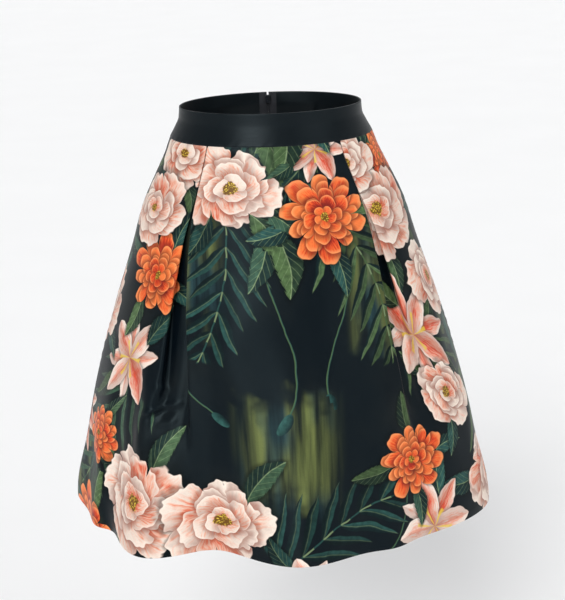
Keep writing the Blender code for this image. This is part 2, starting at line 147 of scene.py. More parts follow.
# The hem's crests and valleys at each angle: how far they stand out, how far the hem rises.
WAVES = Table(
    "out rise",
    (-184.0, -0.008, 0.000), (-163.0, 0.008, 0.000), (-143.0, -0.020, 0.002),
    (-120.0, 0.009, 0.004), (-106.0, -0.002, 0.008), (-94.0, 0.002, 0.010),
    (-78.0, -0.012, 0.005), (-68.0, -0.008, 0.001), (-61.5, -0.021, 0.000),
    (-41.0, 0.013, 0.000), (-22.0, -0.043, 0.000), (3.0, 0.005, 0.000),
    (22.0, -0.013, 0.000), (29.0, -0.008, 0.000), (38.0, -0.016, 0.000),
    (72.0, 0.002, 0.000), (104.0, -0.010, 0.000), (124.0, 0.010, 0.000),
    (142.0, -0.018, 0.001), (161.0, 0.009, 0.000), (176.0, -0.008, 0.000),
    (197.0, 0.008, 0.000),
)
FRONT_LEFT_EDGE = Table(
    "angle",
    (0.040, -39.2), (0.160, -38.2), (0.228, -35.8),
    (0.338, -31.0), (0.450, -29.0), (0.560, -31.0),
)
FRONT_RIGHT_EDGE = Table(
    "angle", (0.040, 39.2), (0.100, 40.6), (0.176, 41.5), (0.290, 39.5), (0.560, 41.0)
)
BACK_RIGHT_EDGE = Table("angle", (0.040, 141.0), (0.180, 140.0), (0.330, 143.0), (0.560, 143.5))
BACK_LEFT_EDGE = Table("angle", (0.040, -141.0), (0.180, -140.0), (0.330, -142.0), (0.560, -141.0))


def ease(value: np.ndarray | Number, low: float, high: float) -> np.ndarray:
    """A smooth step from 0 at low to 1 at high."""
    part = np.clip((np.asarray(value) - low) / (high - low), 0, 1)
    return part * part * (3 - 2 * part)


def centre_back_half(drop: float) -> float:
    """Half of the gap at the centre back, which is wider round the zip's slider."""
    return (SLIT if drop <= SLIT_BOTTOM else SEAM_GAP) / 2


@dataclass(frozen=True)
class SkirtForm:
    """The rules that every section of the cloth follows.

    Attributes:
        waves_start: Drop at which the hem's waves begin.
        waves_power: Power of their growth down to the hem.
        pleat_half: Cloth in half of one pleat, from its edge to its middle.
        halvings: Steps in the search for a fold's depth.
    """

    waves_start: float = 0.240
    waves_power: float = 1.5
    pleat_half: float = 0.033
    halvings: int = 40

    def points(
        self, drop: float, angles: np.ndarray, depths: np.ndarray | float, inset: float = 0.0
    ) -> np.ndarray:
        """Points at some angles of one drop's ring, each at its own depth inside it.

        Args:
            drop: Drop of the ring.
            angles: Angle of each point.
            depths: How far each point lies inside the ring.
            inset: How much smaller the ring is than the outer surface.

        Returns:
            Points, one row each.
        """
        turns = np.radians(angles)
        half_width, half_depth = (half - inset for half in RINGS.row(drop))
        outward = np.stack([np.sin(turns) / half_width, -np.cos(turns) / half_depth], axis=-1)
        outward /= np.linalg.norm(outward, axis=-1, keepdims=True)
        growth = max(0.0, (drop - self.waves_start) / (SKIRT_BOTTOM - self.waves_start))
        stand = WAVES.read("out", angles) * growth**self.waves_power - depths
        flat = np.stack([half_width * np.sin(turns), -half_depth * np.cos(turns)], axis=-1)
        flat += outward * stand[..., None]
        reach = max(0.0, drop - BAND_HEIGHT) / (SKIRT_BOTTOM - BAND_HEIGHT)
        heights = -drop + WAVES.read("rise", angles) * reach
        return np.concatenate([flat, heights[..., None]], axis=-1)

    def fold_depth(self, half_gap: float, underlap: float, valley: float) -> float:
        """How deep a pleat's inner fold lies when half the pleat keeps its length of cloth.

        Args:
            half_gap: Half the gap between the pleat's edges.
            underlap: How far its inner folds lie beyond its edges.
            valley: How deep its middle lies.

        Returns:
            The depth.
        """
        low, high = 0.0, self.pleat_half
        for _ in range(self.halvings):
            depth = (low + high) / 2
            cloth = math.hypot(underlap, depth) + math.hypot(underlap + half_gap, depth - valley)
            low, high = (depth, high) if cloth < self.pleat_half else (low, depth)
        return depth

    def corners(self, drop: float, pleat: Pleat) -> list[tuple[float, float, float]]:
        """The nine corners of an inverted box pleat: their angles, depths and bends.

        Args:
            drop: The section's drop.
            pleat: The pleat.

        Returns:
            The angle, the depth and the bend's half length of each corner, by rising angle.
        """
        gap, underlap, valley, layer, pressed, soft, inner = OPENINGS.row(drop)
        edge = float(pleat.edge.read("angle", drop))
        turn = math.radians(edge)
        half_width, half_depth = RINGS.row(drop)
        per_degree = math.radians(
            math.hypot(half_width * math.cos(turn), half_depth * math.sin(turn))
        )
        half_gap = gap / 2
        depth = self.fold_depth(half_gap, underlap, valley)
        shift = half_gap / per_degree
        middle = edge - shift if pleat.pressed_last else edge + shift
        first, last = (soft, pressed) if pleat.pressed_last else (pressed, soft)
        tuck = half_gap + underlap
        flaps = [(half_gap, 0.0), (half_gap, layer), (tuck, depth + layer)]
        flaps.append((tuck, depth + 2 * layer))
        across = [*((-along, deep) for along, deep in flaps), (0.0, valley + 2 * layer)]
        bends = (first, first, *[inner] * 5, last, last)
        return [
            (middle + along / per_degree, deep, bend)
            for (along, deep), bend in zip(across + flaps[::-1], bends)
        ]


FORM = SkirtForm()


class Section:
    """The cloth's middle line at one drop: a fine line through its corners, its bends rounded."""

    FINE_STEP = 0.0004
    FEWEST_STEPS = 3
    OVERHANG = 8.0
    PLAIN_BEND = 0.0020
    PLAIN_SPAN = 12.0
    CORNERS = 9
    FOLDS = (0, 2, 5, 7)
    LINK_SHARE = 0.42

    def __init__(
        self, drop: float, start: float, end: float, inset: float, pleats: Sequence[Pleat] = ()
    ) -> None:
        """Draws the line.

        Args:
            drop: Drop of the section.
            start: Angle of the first seam.
            end: Angle of the last seam.
            inset: How much smaller the ring is than the outer surface.
            pleats: The pleats between the seams.
        """
        head = [(angle, 0.0, self.PLAIN_BEND) for angle in (start - self.OVERHANG, start)]
        tail = [(angle, 0.0, self.PLAIN_BEND) for angle in (end, end + self.OVERHANG)]
        folded = [corner for pleat in pleats for corner in FORM.corners(drop, pleat)]
        angles, depths, self.bends = np.array([*head, *folded, *tail]).T
        coarse = FORM.points(drop, angles, depths, inset)
        lengths = np.linalg.norm(np.diff(coarse, axis=0), axis=1)
        counts = np.maximum(self.FEWEST_STEPS, np.ceil(lengths / self.FINE_STEP)).astype(int)
        marks = np.concatenate([[0], np.cumsum(counts)])
        places = np.arange(marks[-1] + 1)
        self.angles = np.interp(places, marks, angles)
        line = FORM.points(drop, self.angles, np.interp(places, marks, depths), inset)
        steps = np.linalg.norm(np.diff(line, axis=0), axis=1)
        self.arcs = np.concatenate([[0.0], np.cumsum(steps)])
        self.marks = self.arcs[marks]
        self.first, self.last = self.marks[1], self.marks[-2]
        weighted = (line[1:] + line[:-1]) / 2 * steps[:, None]
        self.sums = np.concatenate([np.zeros((1, 3)), np.cumsum(weighted, axis=0)])

    def arc_at(self, angle: float) -> float:
        """The arc length of an angle that lies on no pleat."""
        near = np.abs(self.angles - angle) < self.PLAIN_SPAN
        return float(np.interp(angle, self.angles[near], self.arcs[near]))

    def folds(self) -> list[tuple[float, float]]:
        """The arc length of each fold's middle, and the half length that its bend takes up.

        Returns:
            Both for each fold, by rising arc length.
        """
        found = []
        for first in range(2, len(self.marks) - 2, self.CORNERS):
            marks = self.marks[first : first + self.CORNERS]
            room = self.LINK_SHARE * min(marks[2] - marks[1], marks[7] - marks[6])
            for corner in self.FOLDS:
                half_layer = (marks[corner + 1] - marks[corner]) / 2
                half_bend = min(self.bends[first + corner], room)
                found.append((marks[corner] + half_layer, half_layer + half_bend))
        return found

    def rounded(self, arcs: np.ndarray) -> np.ndarray:
        """Points on the line with each bend rounded: the line's mean over the bend's length.

        Args:
            arcs: Arc lengths on the fine line.

        Returns:
            Their points, one row each.
        """
        bends = np.interp(arcs, self.marks, self.bends)
        low, high = (
            np.stack([np.interp(at, self.arcs, column) for column in self.sums.T], axis=-1)
            for at in (arcs - bends, arcs + bends)
        )
        return (high - low) / (2 * bends[:, None])

    def row(self, arcs: np.ndarray) -> Path:
        """Rounded points and the level outward directions there.

        Args:
            arcs: Arc lengths on the fine line.

        Returns:
            The points and the directions.
        """
        along = self.rounded(arcs + self.FINE_STEP) - self.rounded(arcs - self.FINE_STEP)
        outward = np.stack([along[:, 1], -along[:, 0], np.zeros(len(arcs))], axis=-1)
        return self.rounded(arcs), outward / np.linalg.norm(outward, axis=1, keepdims=True)


# ---------------------------------------------------------------- cloth as meshes


class ClothGrid(NamedTuple):
    """A piece's middle surface: its points, outward directions and places on the flat cloth."""

    points: np.ndarray
    outward: np.ndarray
    cloth: np.ndarray


class Shell:
    """A closed thin wall on a cloth grid, folded over along its last row.

    Its right side, its wrong side and its rims have places of their own in the UV map OFBake.
    """

    FOLD_ROWS = 4
    WRONG_SCALE = 0.5
    MAP_GAP = 0.006
    SHARP = math.radians(60)

    def __init__(
        self, grid: ClothGrid, right: np.ndarray, wrong: np.ndarray, fold_way: float
    ) -> None:
        """Sets out the wall's vertices.

        Args:
            grid: The middle surface.
            right: How far the right side stands outside it.
            wrong: How far the wrong side stands inside it.
            fold_way: Which way the fold points: -1 down, 1 up.
        """
        points, outward, cloth = grid
        outer = points + outward * right[..., None]
        inner = points - outward * wrong[..., None]
        radius = ((right + wrong) / 2)[-1][:, None]
        places = np.arange(1, self.FOLD_ROWS + 1)[:, None, None]
        turns = math.pi * places / (self.FOLD_ROWS + 1)
        fold = (outer[-1] + inner[-1]) / 2 + outward[-1] * radius * np.cos(turns)
        fold = fold + np.array([0.0, 0.0, fold_way]) * radius * np.sin(turns)
        self.loop = np.concatenate([outer, fold, inner[::-1]])
        self.thickness = float(np.median(right + wrong))
        steps = np.array([0.0, -fold_way * self.thickness / 3]) * places
        self.right_map, self.wrong_map = (
            np.concatenate([cloth, cloth[-1] + way, cloth[::-1]]) for way in (steps, steps[::-1])
        )
        self.map_low = self.right_map.min(axis=(0, 1))
        width, self.map_height = self.right_map.max(axis=(0, 1)) - self.map_low
        whole = max(width, self.map_height * (1 + self.WRONG_SCALE))
        self.map_size = whole + 4 * self.MAP_GAP
        self.split = len(points) + self.FOLD_ROWS // 2 - 1
        self.side = np.zeros(self.loop.shape[:2])
        self.side[self.split + 1 :] = 1.0

    def faces(self) -> tuple[np.ndarray, np.ndarray]:
        """The vertex numbers of the wall's quads, and their corners' places in the UV map.

        Returns:
            Both as arrays, one row for each quad.
        """
        count, columns = self.loop.shape[:2]
        index = np.arange(count * columns).reshape(count, columns)
        quads, places = [], []

        def strip(upper: np.ndarray, lower: np.ndarray, *maps: np.ndarray) -> None:
            """Adds the quads between two lines of vertices, with the lines' map places."""
            for (above, below), store in (((upper, lower), quads), (maps, places)):
                store.append(np.stack([above[:-1], below[:-1], below[1:], above[1:]], axis=1))

        right, wrong = self.in_map(self.right_map, False), self.in_map(self.wrong_map, True)
        for row in range(count - 1):
            side = wrong if row >= self.split else right
            strip(index[row], index[row + 1], side[row], side[row + 1])
        rim = self.thickness / self.map_size
        half = slice(count // 2)
        strip(index[-1], index[0], right[0] + (0.0, rim), right[0])
        strip(index[half, 0], index[::-1][half, 0], right[half, 0], right[half, 0] - (rim, 0.0))
        last = right[half, -1]
        strip(index[::-1][half, -1], index[half, -1], last + (rim, 0.0), last)
        return np.concatenate(quads), np.concatenate(places)

    def in_map(self, cloth: np.ndarray, wrong: bool) -> np.ndarray:
        """Cloth coordinates moved to the right or the wrong side's place in the UV map.

        Args:
            cloth: The coordinates.
            wrong: Whether they are on the wrong side.

        Returns:
            Their places in the UV map.
        """
        placed = cloth - self.map_low
        if wrong:
            placed = placed * self.WRONG_SCALE + (0.0, self.map_height + 2 * self.MAP_GAP)
        corner = (self.MAP_GAP, self.map_size - self.MAP_GAP)
        return (placed * (1, -1) + corner) / self.map_size

    def build(self, name: str, material: bpy.types.Material) -> bpy.types.Object:
        """Makes the mesh object, with its cloth coordinates in the attribute `cloth`.

        Args:
            name: The object's name.
            material: Its finish.

        Returns:
            The object.
        """
        self.quads, places = self.faces()
        mesh = bpy.data.meshes.new(name)
        mesh.from_pydata(self.loop.reshape(-1, 3).tolist(), [], self.quads.tolist())
        mesh.update()
        uv_map = mesh.uv_layers.new(name="OFBake")
        uv_map.data.foreach_set("uv", places.reshape(-1).astype(np.float32))
        put_vectors(mesh, "cloth", "POINT", np.dstack([self.right_map, self.side]))
        mesh.shade_smooth()
        mesh.set_sharp_from_angle(angle=self.SHARP)
        mesh.materials.append(material)
        return add_object(name, mesh)


def put_vectors(mesh: bpy.types.Mesh, name: str, domain: str, values: np.ndarray) -> None:
    """Stores a vector attribute on a mesh."""
    stored = mesh.attributes.new(name, "FLOAT_VECTOR", domain)
    stored.data.foreach_set("vector", values.reshape(-1).astype(np.float32))


def add_object(name: str, data: bpy.types.ID) -> bpy.types.Object:
    """A new object at the origin, in the scene's collection.

    Args:
        name: Its name.
        data: Its mesh, curve, light or camera.

    Returns:
        The object.
    """
    thing = bpy.data.objects.new(name, data)
    bpy.context.scene.collection.objects.link(thing)
    return thing


def take_mesh(thing: bpy.types.Object) -> bpy.types.Mesh:
    """The evaluated mesh of an object, which is then removed.

    Args:
        thing: A curve, or a mesh with a modifier.

    Returns:
        The mesh.
    """
    bpy.context.view_layer.update()
    graph = bpy.context.evaluated_depsgraph_get()
    mesh = bpy.data.meshes.new_from_object(thing.evaluated_get(graph))
    bpy.data.objects.remove(thing)
    return mesh


def declare(piece: bpy.types.Object, node: str = "", body: str = "skirt") -> None:
    """Says which body a piece rides on and which solid it stands for.

    Args:
        piece: The piece.
        node: The solid that it stands for, if any.
        body: The body that it rides on.
    """
    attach(piece, body)
    if node:
        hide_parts(node)


# ---------------------------------------------------------------- node trees


def maths(operation: str, backwards: bool = False) -> Callable[..., "Field"]:
    """A method of Field that makes one Math node, with its values in either order.

    Args:
        operation: The node's operation.
        backwards: Whether the field itself comes last.

    Returns:
        The method.
    """

    def method(self: "Field", *others: "Field | Number") -> "Field":
        """The result of the Math node."""
        values = (self, *others)
        return self.tree.math(operation, *(values[::-1] if backwards else values))

    return method


class Field:
    """A value in a node tree: a socket that Python's operators and these methods work on."""

    def __init__(self, tree: "NodeTree", socket: bpy.types.NodeSocket) -> None:
        """Wraps a socket of a tree."""
        self.tree = tree
        self.socket = socket

    __add__ = __radd__ = maths("ADD")
    __sub__, __rsub__ = maths("SUBTRACT"), maths("SUBTRACT", backwards=True)
    __mul__ = __rmul__ = maths("MULTIPLY")
    __truediv__, __pow__, __abs__ = maths("DIVIDE"), maths("POWER"), maths("ABSOLUTE")
    floor, fraction, wrap = maths("FLOOR"), maths("FRACT"), maths("FLOORED_MODULO")
    root, sine, cosine = maths("SQRT"), maths("SINE"), maths("COSINE")
    most, least = maths("MAXIMUM"), maths("MINIMUM")

    def step(self, low: "Field | Number", high: "Field | Number") -> "Field":
        """A smooth step: 0 at low, 1 at high.

        Args:
            low: Where the step starts.
            high: Where it ends.

        Returns:
            The step.
        """
        values = {"Value": self, "From Min": low, "From Max": high}
        return self.tree.make("ShaderNodeMapRange", values, interpolation_type="SMOOTHSTEP")

    def within(self, low: Number, high: Number) -> "Field":
        """The value held between two limits."""
        return self.most(low).least(high)


class NodeTree:
    """A tree of nodes under construction."""

    def __init__(self, tree: bpy.types.NodeTree) -> None:
        """Takes the tree that gets the nodes."""
        self.tree = tree

    def node(
        self, kind: str, values: dict[str | int, object], **settings: object
    ) -> bpy.types.Node:
        """Adds a node: its settings are set first, then its sockets are linked or set.

        Args:
            kind: The node's type.
            values: A value or a field for each of its sockets, by name or number.
            settings: Its settings, such as a Math node's operation.

        Returns:
            The node.
        """
        made = self.tree.nodes.new(kind)
        for key, value in settings.items():
            setattr(made, key, value)
        for key, value in values.items():
            self.feed(made.inputs[key], value)
        return made

    def make(
        self, kind: str, values: dict[str | int, object], out: int | str = 0, **settings: object
    ) -> Field:
        """Adds a node and gives one of its outputs.

        Args:
            kind: The node's type.
            values: A value or a field for each of its sockets.
            out: Which output to take.
            settings: The node's settings.

        Returns:
            The output.
        """
        return Field(self, self.node(kind, values, **settings).outputs[out])

    def feed(self, socket: bpy.types.NodeSocket, value: object) -> None:
        """Links a field to a socket, or sets the socket's own value.

        Args:
            socket: An input.
            value: A field, or a value of its type.
        """
        if isinstance(value, Field):
            self.tree.links.new(value.socket, socket)
        elif socket.type == "RGBA" and len(value) == 3:
            socket.default_value = (*value, 1.0)
        else:
            socket.default_value = value

    def math(self, operation: str, *values: Field | Number) -> Field:
        """One Math node."""
        return self.make("ShaderNodeMath", dict(enumerate(values)), operation=operation)

    def vector(self, x: Field | Number, y: Field | Number, z: Field | Number = 0.0) -> Field:
        """A vector of three values."""
        return self.make("ShaderNodeCombineXYZ", {0: x, 1: y, 2: z})


class Finish(NodeTree):
    """One material's nodes."""

    MIX_SOCKETS = {"FLOAT": (2, 3, 0), "RGBA": (6, 7, 2)}

    def __init__(self, name: str) -> None:
        """Starts the material.

        Args:
            name: The material's name.
        """
        self.material = bpy.data.materials.new(name)
        self.material.use_nodes = True
        super().__init__(self.material.node_tree)

    def dress(self, **values: object) -> None:
        """Feeds sockets of the Principled shader; an underscore in a name stands for a space.

        Args:
            values: A value or a field for each socket's name.
        """
        inputs = self.tree.nodes["Principled BSDF"].inputs
        for name, value in values.items():
            self.feed(inputs[name.replace("_", " ")], value)

    def mix(self, share: Field, low: object, high: object, kind: str = "FLOAT") -> Field:
        """A mix of two numbers, or with kind RGBA of two colours.

        Args:
            share: The share of the second one.
            low: The first.
            high: The second.
            kind: Their type.

        Returns:
            The mix.
        """
        first, second, out = self.MIX_SOCKETS[kind]
        values = {0: share, first: low, second: high}
        return self.make("ShaderNodeMix", values, out, data_type=kind)

    def blend(self, share: Field, low: object, high: object) -> Field:
        """A mix of two colours."""
        return self.mix(share, low, high, "RGBA")

    def dim(self, colour: Field | Colour, amount: Field | Number) -> Field:
        """A colour times a number."""
        return self.make("ShaderNodeVectorMath", {0: colour, "Scale": amount}, operation="SCALE")

    def apart(self, vector: Field) -> tuple[Field, Field, Field]:
        """A vector's three values."""
        made = self.node("ShaderNodeSeparateXYZ", {0: vector})
        return tuple(Field(self, socket) for socket in made.outputs)

    def attribute(self, name: str) -> tuple[Field, Field, Field]:
        """The three values of a mesh attribute."""
        return self.apart(self.make("ShaderNodeAttribute", {}, "Vector", attribute_name=name))

    def object_place(self) -> Field:
        """The Object coordinates."""
        return self.make("ShaderNodeTexCoord", {}, "Object")

    def noise(self, vector: Field, scale: float, detail: float = 2.0, out: int = 0) -> Field:
        """Soft noise of 0 to 1; output 1 gives three independent values.

        Args:
            vector: Where it is read.
            scale: How fine it is.
            detail: How many finer layers it has.
            out: Which output to take.

        Returns:
            The noise.
        """
        values = {"Vector": vector, "Scale": scale, "Detail": detail}
        return self.make("ShaderNodeTexNoise", values, out)

    def chance(self, value: Field) -> Field:
        """A random number of 0 to 1 for each value."""
        return self.make("ShaderNodeTexWhiteNoise", {"W": value}, noise_dimensions="1D")

    def dots(self, vector: Field, scale: float) -> Field:
        """The distance to the nearest of many scattered dots."""
        return self.make("ShaderNodeTexVoronoi", {"Vector": vector, "Scale": scale})

    def bump(self, height: Field, distance: float, strength: float) -> Field:
        """A bumped normal.

        Args:
            height: The relief.
            distance: Its full height in metres.
            strength: How far it shows.

        Returns:
            The normal.
        """
        values = {"Height": height, "Distance": distance, "Strength": strength}
        return self.make("ShaderNodeBump", values)


def paint(code: str) -> Colour:
    """A screen colour such as ff8000 as the linear colour that a shader takes."""
    parts = [value / 255 for value in bytes.fromhex(code)]
    return tuple(p / 12.92 if p <= 0.04045 else ((p + 0.055) / 1.055) ** 2.4 for p in parts)


def paints(codes: str) -> list[Colour]:
    """Several screen colours."""
    return [paint(code) for code in codes.split()]


# ---------------------------------------------------------------- the print


class Kind(Enum):
    """The kinds of motif. Each value names the attribute that holds its local coordinates."""

    GLOW = "print_glow"
    STEM = "print_stem"
    SPRAY = "print_spray"
    LEAF = "print_leaf"
    LEAF_OVER = "print_leaf_over"
    STAR = "print_star"
    DAHLIA = "print_dahlia"
    BLOSSOM = "print_blossom"
    BLOSSOM_OVER = "print_blossom_over"


class Motif(NamedTuple):
    """A motif on the flat cloth: its middle, half length, half width and turn in degrees."""

    kind: Kind
    x: float
    y: float
    length: float
    width: float
    turn: float


class Wreath(NamedTuple):
    """How leaves stand round a flower: how many, from which angle, how far out and how long."""

    count: int
    start: float
    reach: float
    length: float


# The motifs of one repeat: x, y, half length, half width and turn.
MOTIFS = tuple(
    Motif(kind, *row)
    for kind, *rows in (
        (
            Kind.BLOSSOM,
            (-0.058, 0.050, 0.066, 0.060, 10), (0.208, 0.078, 0.072, 0.062, -20),
            (-0.226, 0.452, 0.080, 0.072, 25), (0.352, 0.455, 0.078, 0.072, 5),
            (-0.372, 0.190, 0.064, 0.060, -30),
        ),
        (
            Kind.BLOSSOM_OVER,
            (-0.100, 0.488, 0.080, 0.070, -12), (0.296, 0.168, 0.060, 0.050, 40),
            (-0.250, 0.060, 0.056, 0.048, 0), (0.262, 0.330, 0.056, 0.048, 60),
        ),
        (
            Kind.DAHLIA,
            (0.060, 0.092, 0.060, 0.056, 0), (-0.226, 0.150, 0.056, 0.052, 30),
            (0.176, 0.415, 0.054, 0.048, -15), (-0.370, 0.510, 0.066, 0.060, 50),
            (0.440, 0.300, 0.058, 0.054, 0), (-0.308, 0.372, 0.044, 0.040, 0),
        ),
        (
            Kind.STAR,
            (0.226, 0.245, 0.090, 0.074, 75), (0.215, 0.512, 0.096, 0.078, 40),
            (-0.262, 0.262, 0.084, 0.066, 110), (-0.140, 0.000, 0.070, 0.062, 200),
            (0.020, 0.575, 0.074, 0.064, 150), (-0.400, 0.350, 0.080, 0.066, 20),
            (0.052, 0.004, 0.060, 0.050, -30),
        ),
        (Kind.BLOSSOM, (-0.196, -0.006, 0.052, 0.046, 0)),
        (Kind.BLOSSOM_OVER, (0.168, 0.016, 0.046, 0.040, 0)),
        (Kind.DAHLIA, (0.240, 0.004, 0.040, 0.038, 0)),
        (Kind.LEAF_OVER, (-0.228, 0.014, 0.040, 0.036, 140)),
        (
            Kind.LEAF,
            (0.205, 0.010, 0.044, 0.036, 60), (0.004, 0.020, 0.046, 0.040, 70),
            (0.030, 0.030, 0.048, 0.040, 130), (-0.006, 0.118, 0.044, 0.038, 60),
            (-0.022, 0.150, 0.042, 0.034, 110), (0.330, 0.250, 0.050, 0.040, 80),
            (0.376, 0.380, 0.050, 0.040, 100),
        ),
        (
            Kind.LEAF_OVER,
            (0.016, 0.004, 0.044, 0.040, 100), (-0.010, 0.072, 0.040, 0.036, 40),
            (0.012, 0.150, 0.046, 0.038, 80),
        ),
        (
            Kind.SPRAY,
            (0.000, 0.020, 0.090, 0.075, 65), (0.132, 0.190, 0.100, 0.080, 70),
            (-0.075, 0.185, 0.100, 0.078, 104), (0.320, 0.330, 0.120, 0.095, 60),
            (-0.310, 0.380, 0.120, 0.090, 130), (0.060, 0.490, 0.110, 0.085, -30),
            (0.400, 0.560, 0.110, 0.085, 20), (-0.330, 0.030, 0.090, 0.070, 40),
        ),
        (
            Kind.STEM,
            (0.070, 0.240, 0.100, 0.100, 82), (-0.006, 0.250, 0.120, 0.110, 98),
            (-0.120, 0.270, 0.100, 0.090, 68), (0.120, 0.520, 0.100, 0.090, 120),
            (0.400, 0.080, 0.110, 0.100, 100), (-0.440, 0.090, 0.100, 0.100, 80),
        ),
        (
            Kind.GLOW,
            (0.000, 0.395, 0.080, 0.090, 0), (-0.115, 0.130, 0.050, 0.110, 0),
            (0.330, 0.250, 0.060, 0.100, 0), (-0.400, 0.430, 0.080, 0.090, 0),
            (0.120, 0.180, 0.040, 0.100, 0),
        ),
    )
    for row in rows
)
WREATHS = {
    Kind.BLOSSOM: Wreath(4, 35.0, 1.15, 0.50),
    Kind.BLOSSOM_OVER: Wreath(3, 80.0, 1.15, 0.52),
    Kind.DAHLIA: Wreath(4, 10.0, 1.20, 0.58),
    Kind.STAR: Wreath(2, 60.0, 0.85, 0.42),
}


@dataclass(frozen=True)
class PrintLayout:
    """A placed botanical print that repeats across the cloth.

    Attributes:
        repeat: Width and height of one repeat.
        reach: How far past its own edge a motif's coordinates reach, in its half sizes.
        far: The coordinates of a face that lies in no motif.
        margin: How far outside a piece its motifs' middles may lie.
        wreath_turn: How much further round the leaves start at each next flower, in degrees.
        leaf_width: A leaf's half width as a share of its half length.
    """

    repeat: tuple[float, float] = (0.92, 0.64)
    reach: float = 1.45
    far: float = 9.0
    margin: float = 0.2
    wreath_turn: float = 47.0
    leaf_width: float = 0.8

    def all_motifs(self) -> list[Motif]:
        """The motifs of one repeat with the leaves that stand out from behind the flowers.

        Returns:
            The motifs, the leaves last.
        """
        found = list(MOTIFS)
        flowers = [(n, flower) for n, flower in enumerate(MOTIFS) if flower.kind in WREATHS]
        for number, flower in flowers:
            wreath = WREATHS[flower.kind]
            reach, length = flower.length * wreath.reach, flower.length * wreath.length
            for leaf in range(wreath.count):
                angle = wreath.start + number * self.wreath_turn + leaf * 360.0 / wreath.count
                away = math.radians(angle)
                kind = Kind.LEAF if (number + leaf) % 2 else Kind.LEAF_OVER
                middle = (flower.x + reach * math.cos(away), flower.y + reach * math.sin(away))
                found.append(Motif(kind, *middle, length, length * self.leaf_width, angle))
        return found

    def local(self, kind: Kind, corners: np.ndarray) -> np.ndarray:
        """The coordinates of each face's corners in its nearest motif of one kind.

        Args:
            kind: The kind of motif.
            corners: Cloth coordinates, four corners a face.

        Returns:
            Along and across the motif, in its half sizes, and the motif's number.
        """
        middles = corners.mean(axis=1)
        best = np.full(len(middles), self.reach)
        result = np.full((*corners.shape[:2], 3), self.far)
        motifs = [motif for motif in self.all_motifs() if motif.kind is kind]
        low = np.floor((middles.min(axis=0) - self.margin) / self.repeat).astype(int)
        high = np.ceil((middles.max(axis=0) + self.margin) / self.repeat).astype(int)
        shifts = product(*(range(*ends) for ends in zip(low, high + 1)))
        for (number, motif), shift in product(enumerate(motifs), list(shifts)):
            turn = math.radians(motif.turn)
            along = np.array([math.cos(turn), math.sin(turn)]) / motif.length
            across = np.array([-math.sin(turn), math.cos(turn)]) / motif.width
            middle = np.array([motif.x, motif.y]) + np.array(shift) * self.repeat
            away = middles - middle
            distance = np.hypot(away @ along, away @ across)
            near = np.flatnonzero(distance < best)
            best[near] = distance[near]
            spot = corners[near] - middle
            result[near] = np.stack(
                [spot @ along, spot @ across, np.full(spot.shape[:2], number)], axis=-1
            )
        return result

    def put_on(self, shell: Shell, piece: bpy.types.Object) -> None:
        """Stores every kind's local coordinates on a built shell's corners.

        Args:
            shell: The piece's shell, built.
            piece: The object made of it.
        """
        corners = shell.right_map.reshape(-1, 2)[shell.quads]
        for kind in Kind:
            put_vectors(piece.data, kind.value, "CORNER", self.local(kind, corners))


class Tones(NamedTuple):
    """The colours of one kind of flower."""

    pale: Colour
    mid: Colour
    deep: Colour
    rim: Colour
    shadow: Colour


class Whorl(NamedTuple):
    """A ring of petals: how many, how far they reach, and how they turn, swirl and bow."""

    count: int
    reach: float
    turn: float
    swirl: float
    bow: float


class Flower(NamedTuple):
    """A flower of whorls: its warp, its petals' ruffle, its tuft's reach and dots, its tones."""

    warp: float
    ruffle: float
    tuft: float
    dots: float
    tones: Tones
    whorls: tuple[Whorl, ...]


class Place(NamedTuple):
    """Where a point lies in its nearest motif."""

    along: Field
    across: Field
    own: Field
    turns: Field
    radius: Field


class Petal(NamedTuple):
    """Where a point lies on the petal on top there: across it, outwards, its chance and shade."""

    part: Field
    depth: Field
    luck: Field
    shade: Field | float


BLOSSOM = Flower(
    warp=0.30,
    ruffle=0.17,
    tuft=0.15,
    dots=26.0,
    tones=Tones(*paints("e8d7c9 e0a68e ce5c3e f4e7da 8a4a38")),
    whorls=(
        Whorl(5, 0.98, 0.1, 0.35, 0.26),
        Whorl(5, 0.76, 0.6, 0.55, 0.26),
        Whorl(4, 0.53, 0.3, 0.80, 0.28),
        Whorl(3, 0.32, 0.8, 1.10, 0.28),
    ),
)
DAHLIA = Flower(
    warp=0.16,
    ruffle=0.08,
    tuft=0.11,
    dots=30.0,
    tones=Tones(*paints("ec7a3e de4e24 9e2618 f6a468 541814")),
    whorls=(
        Whorl(10, 0.98, 0.0, 0.20, 0.44),
        Whorl(9, 0.80, 0.5, 0.25, 0.44),
        Whorl(8, 0.61, 0.2, 0.30, 0.44),
        Whorl(6, 0.43, 0.6, 0.40, 0.44),
        Whorl(5, 0.26, 0.3, 0.50, 0.44),
    ),
)
CLEMATIS = Tones(*paints("ead9cc e09c86 ce4c34 f5e9de 8a4836"))


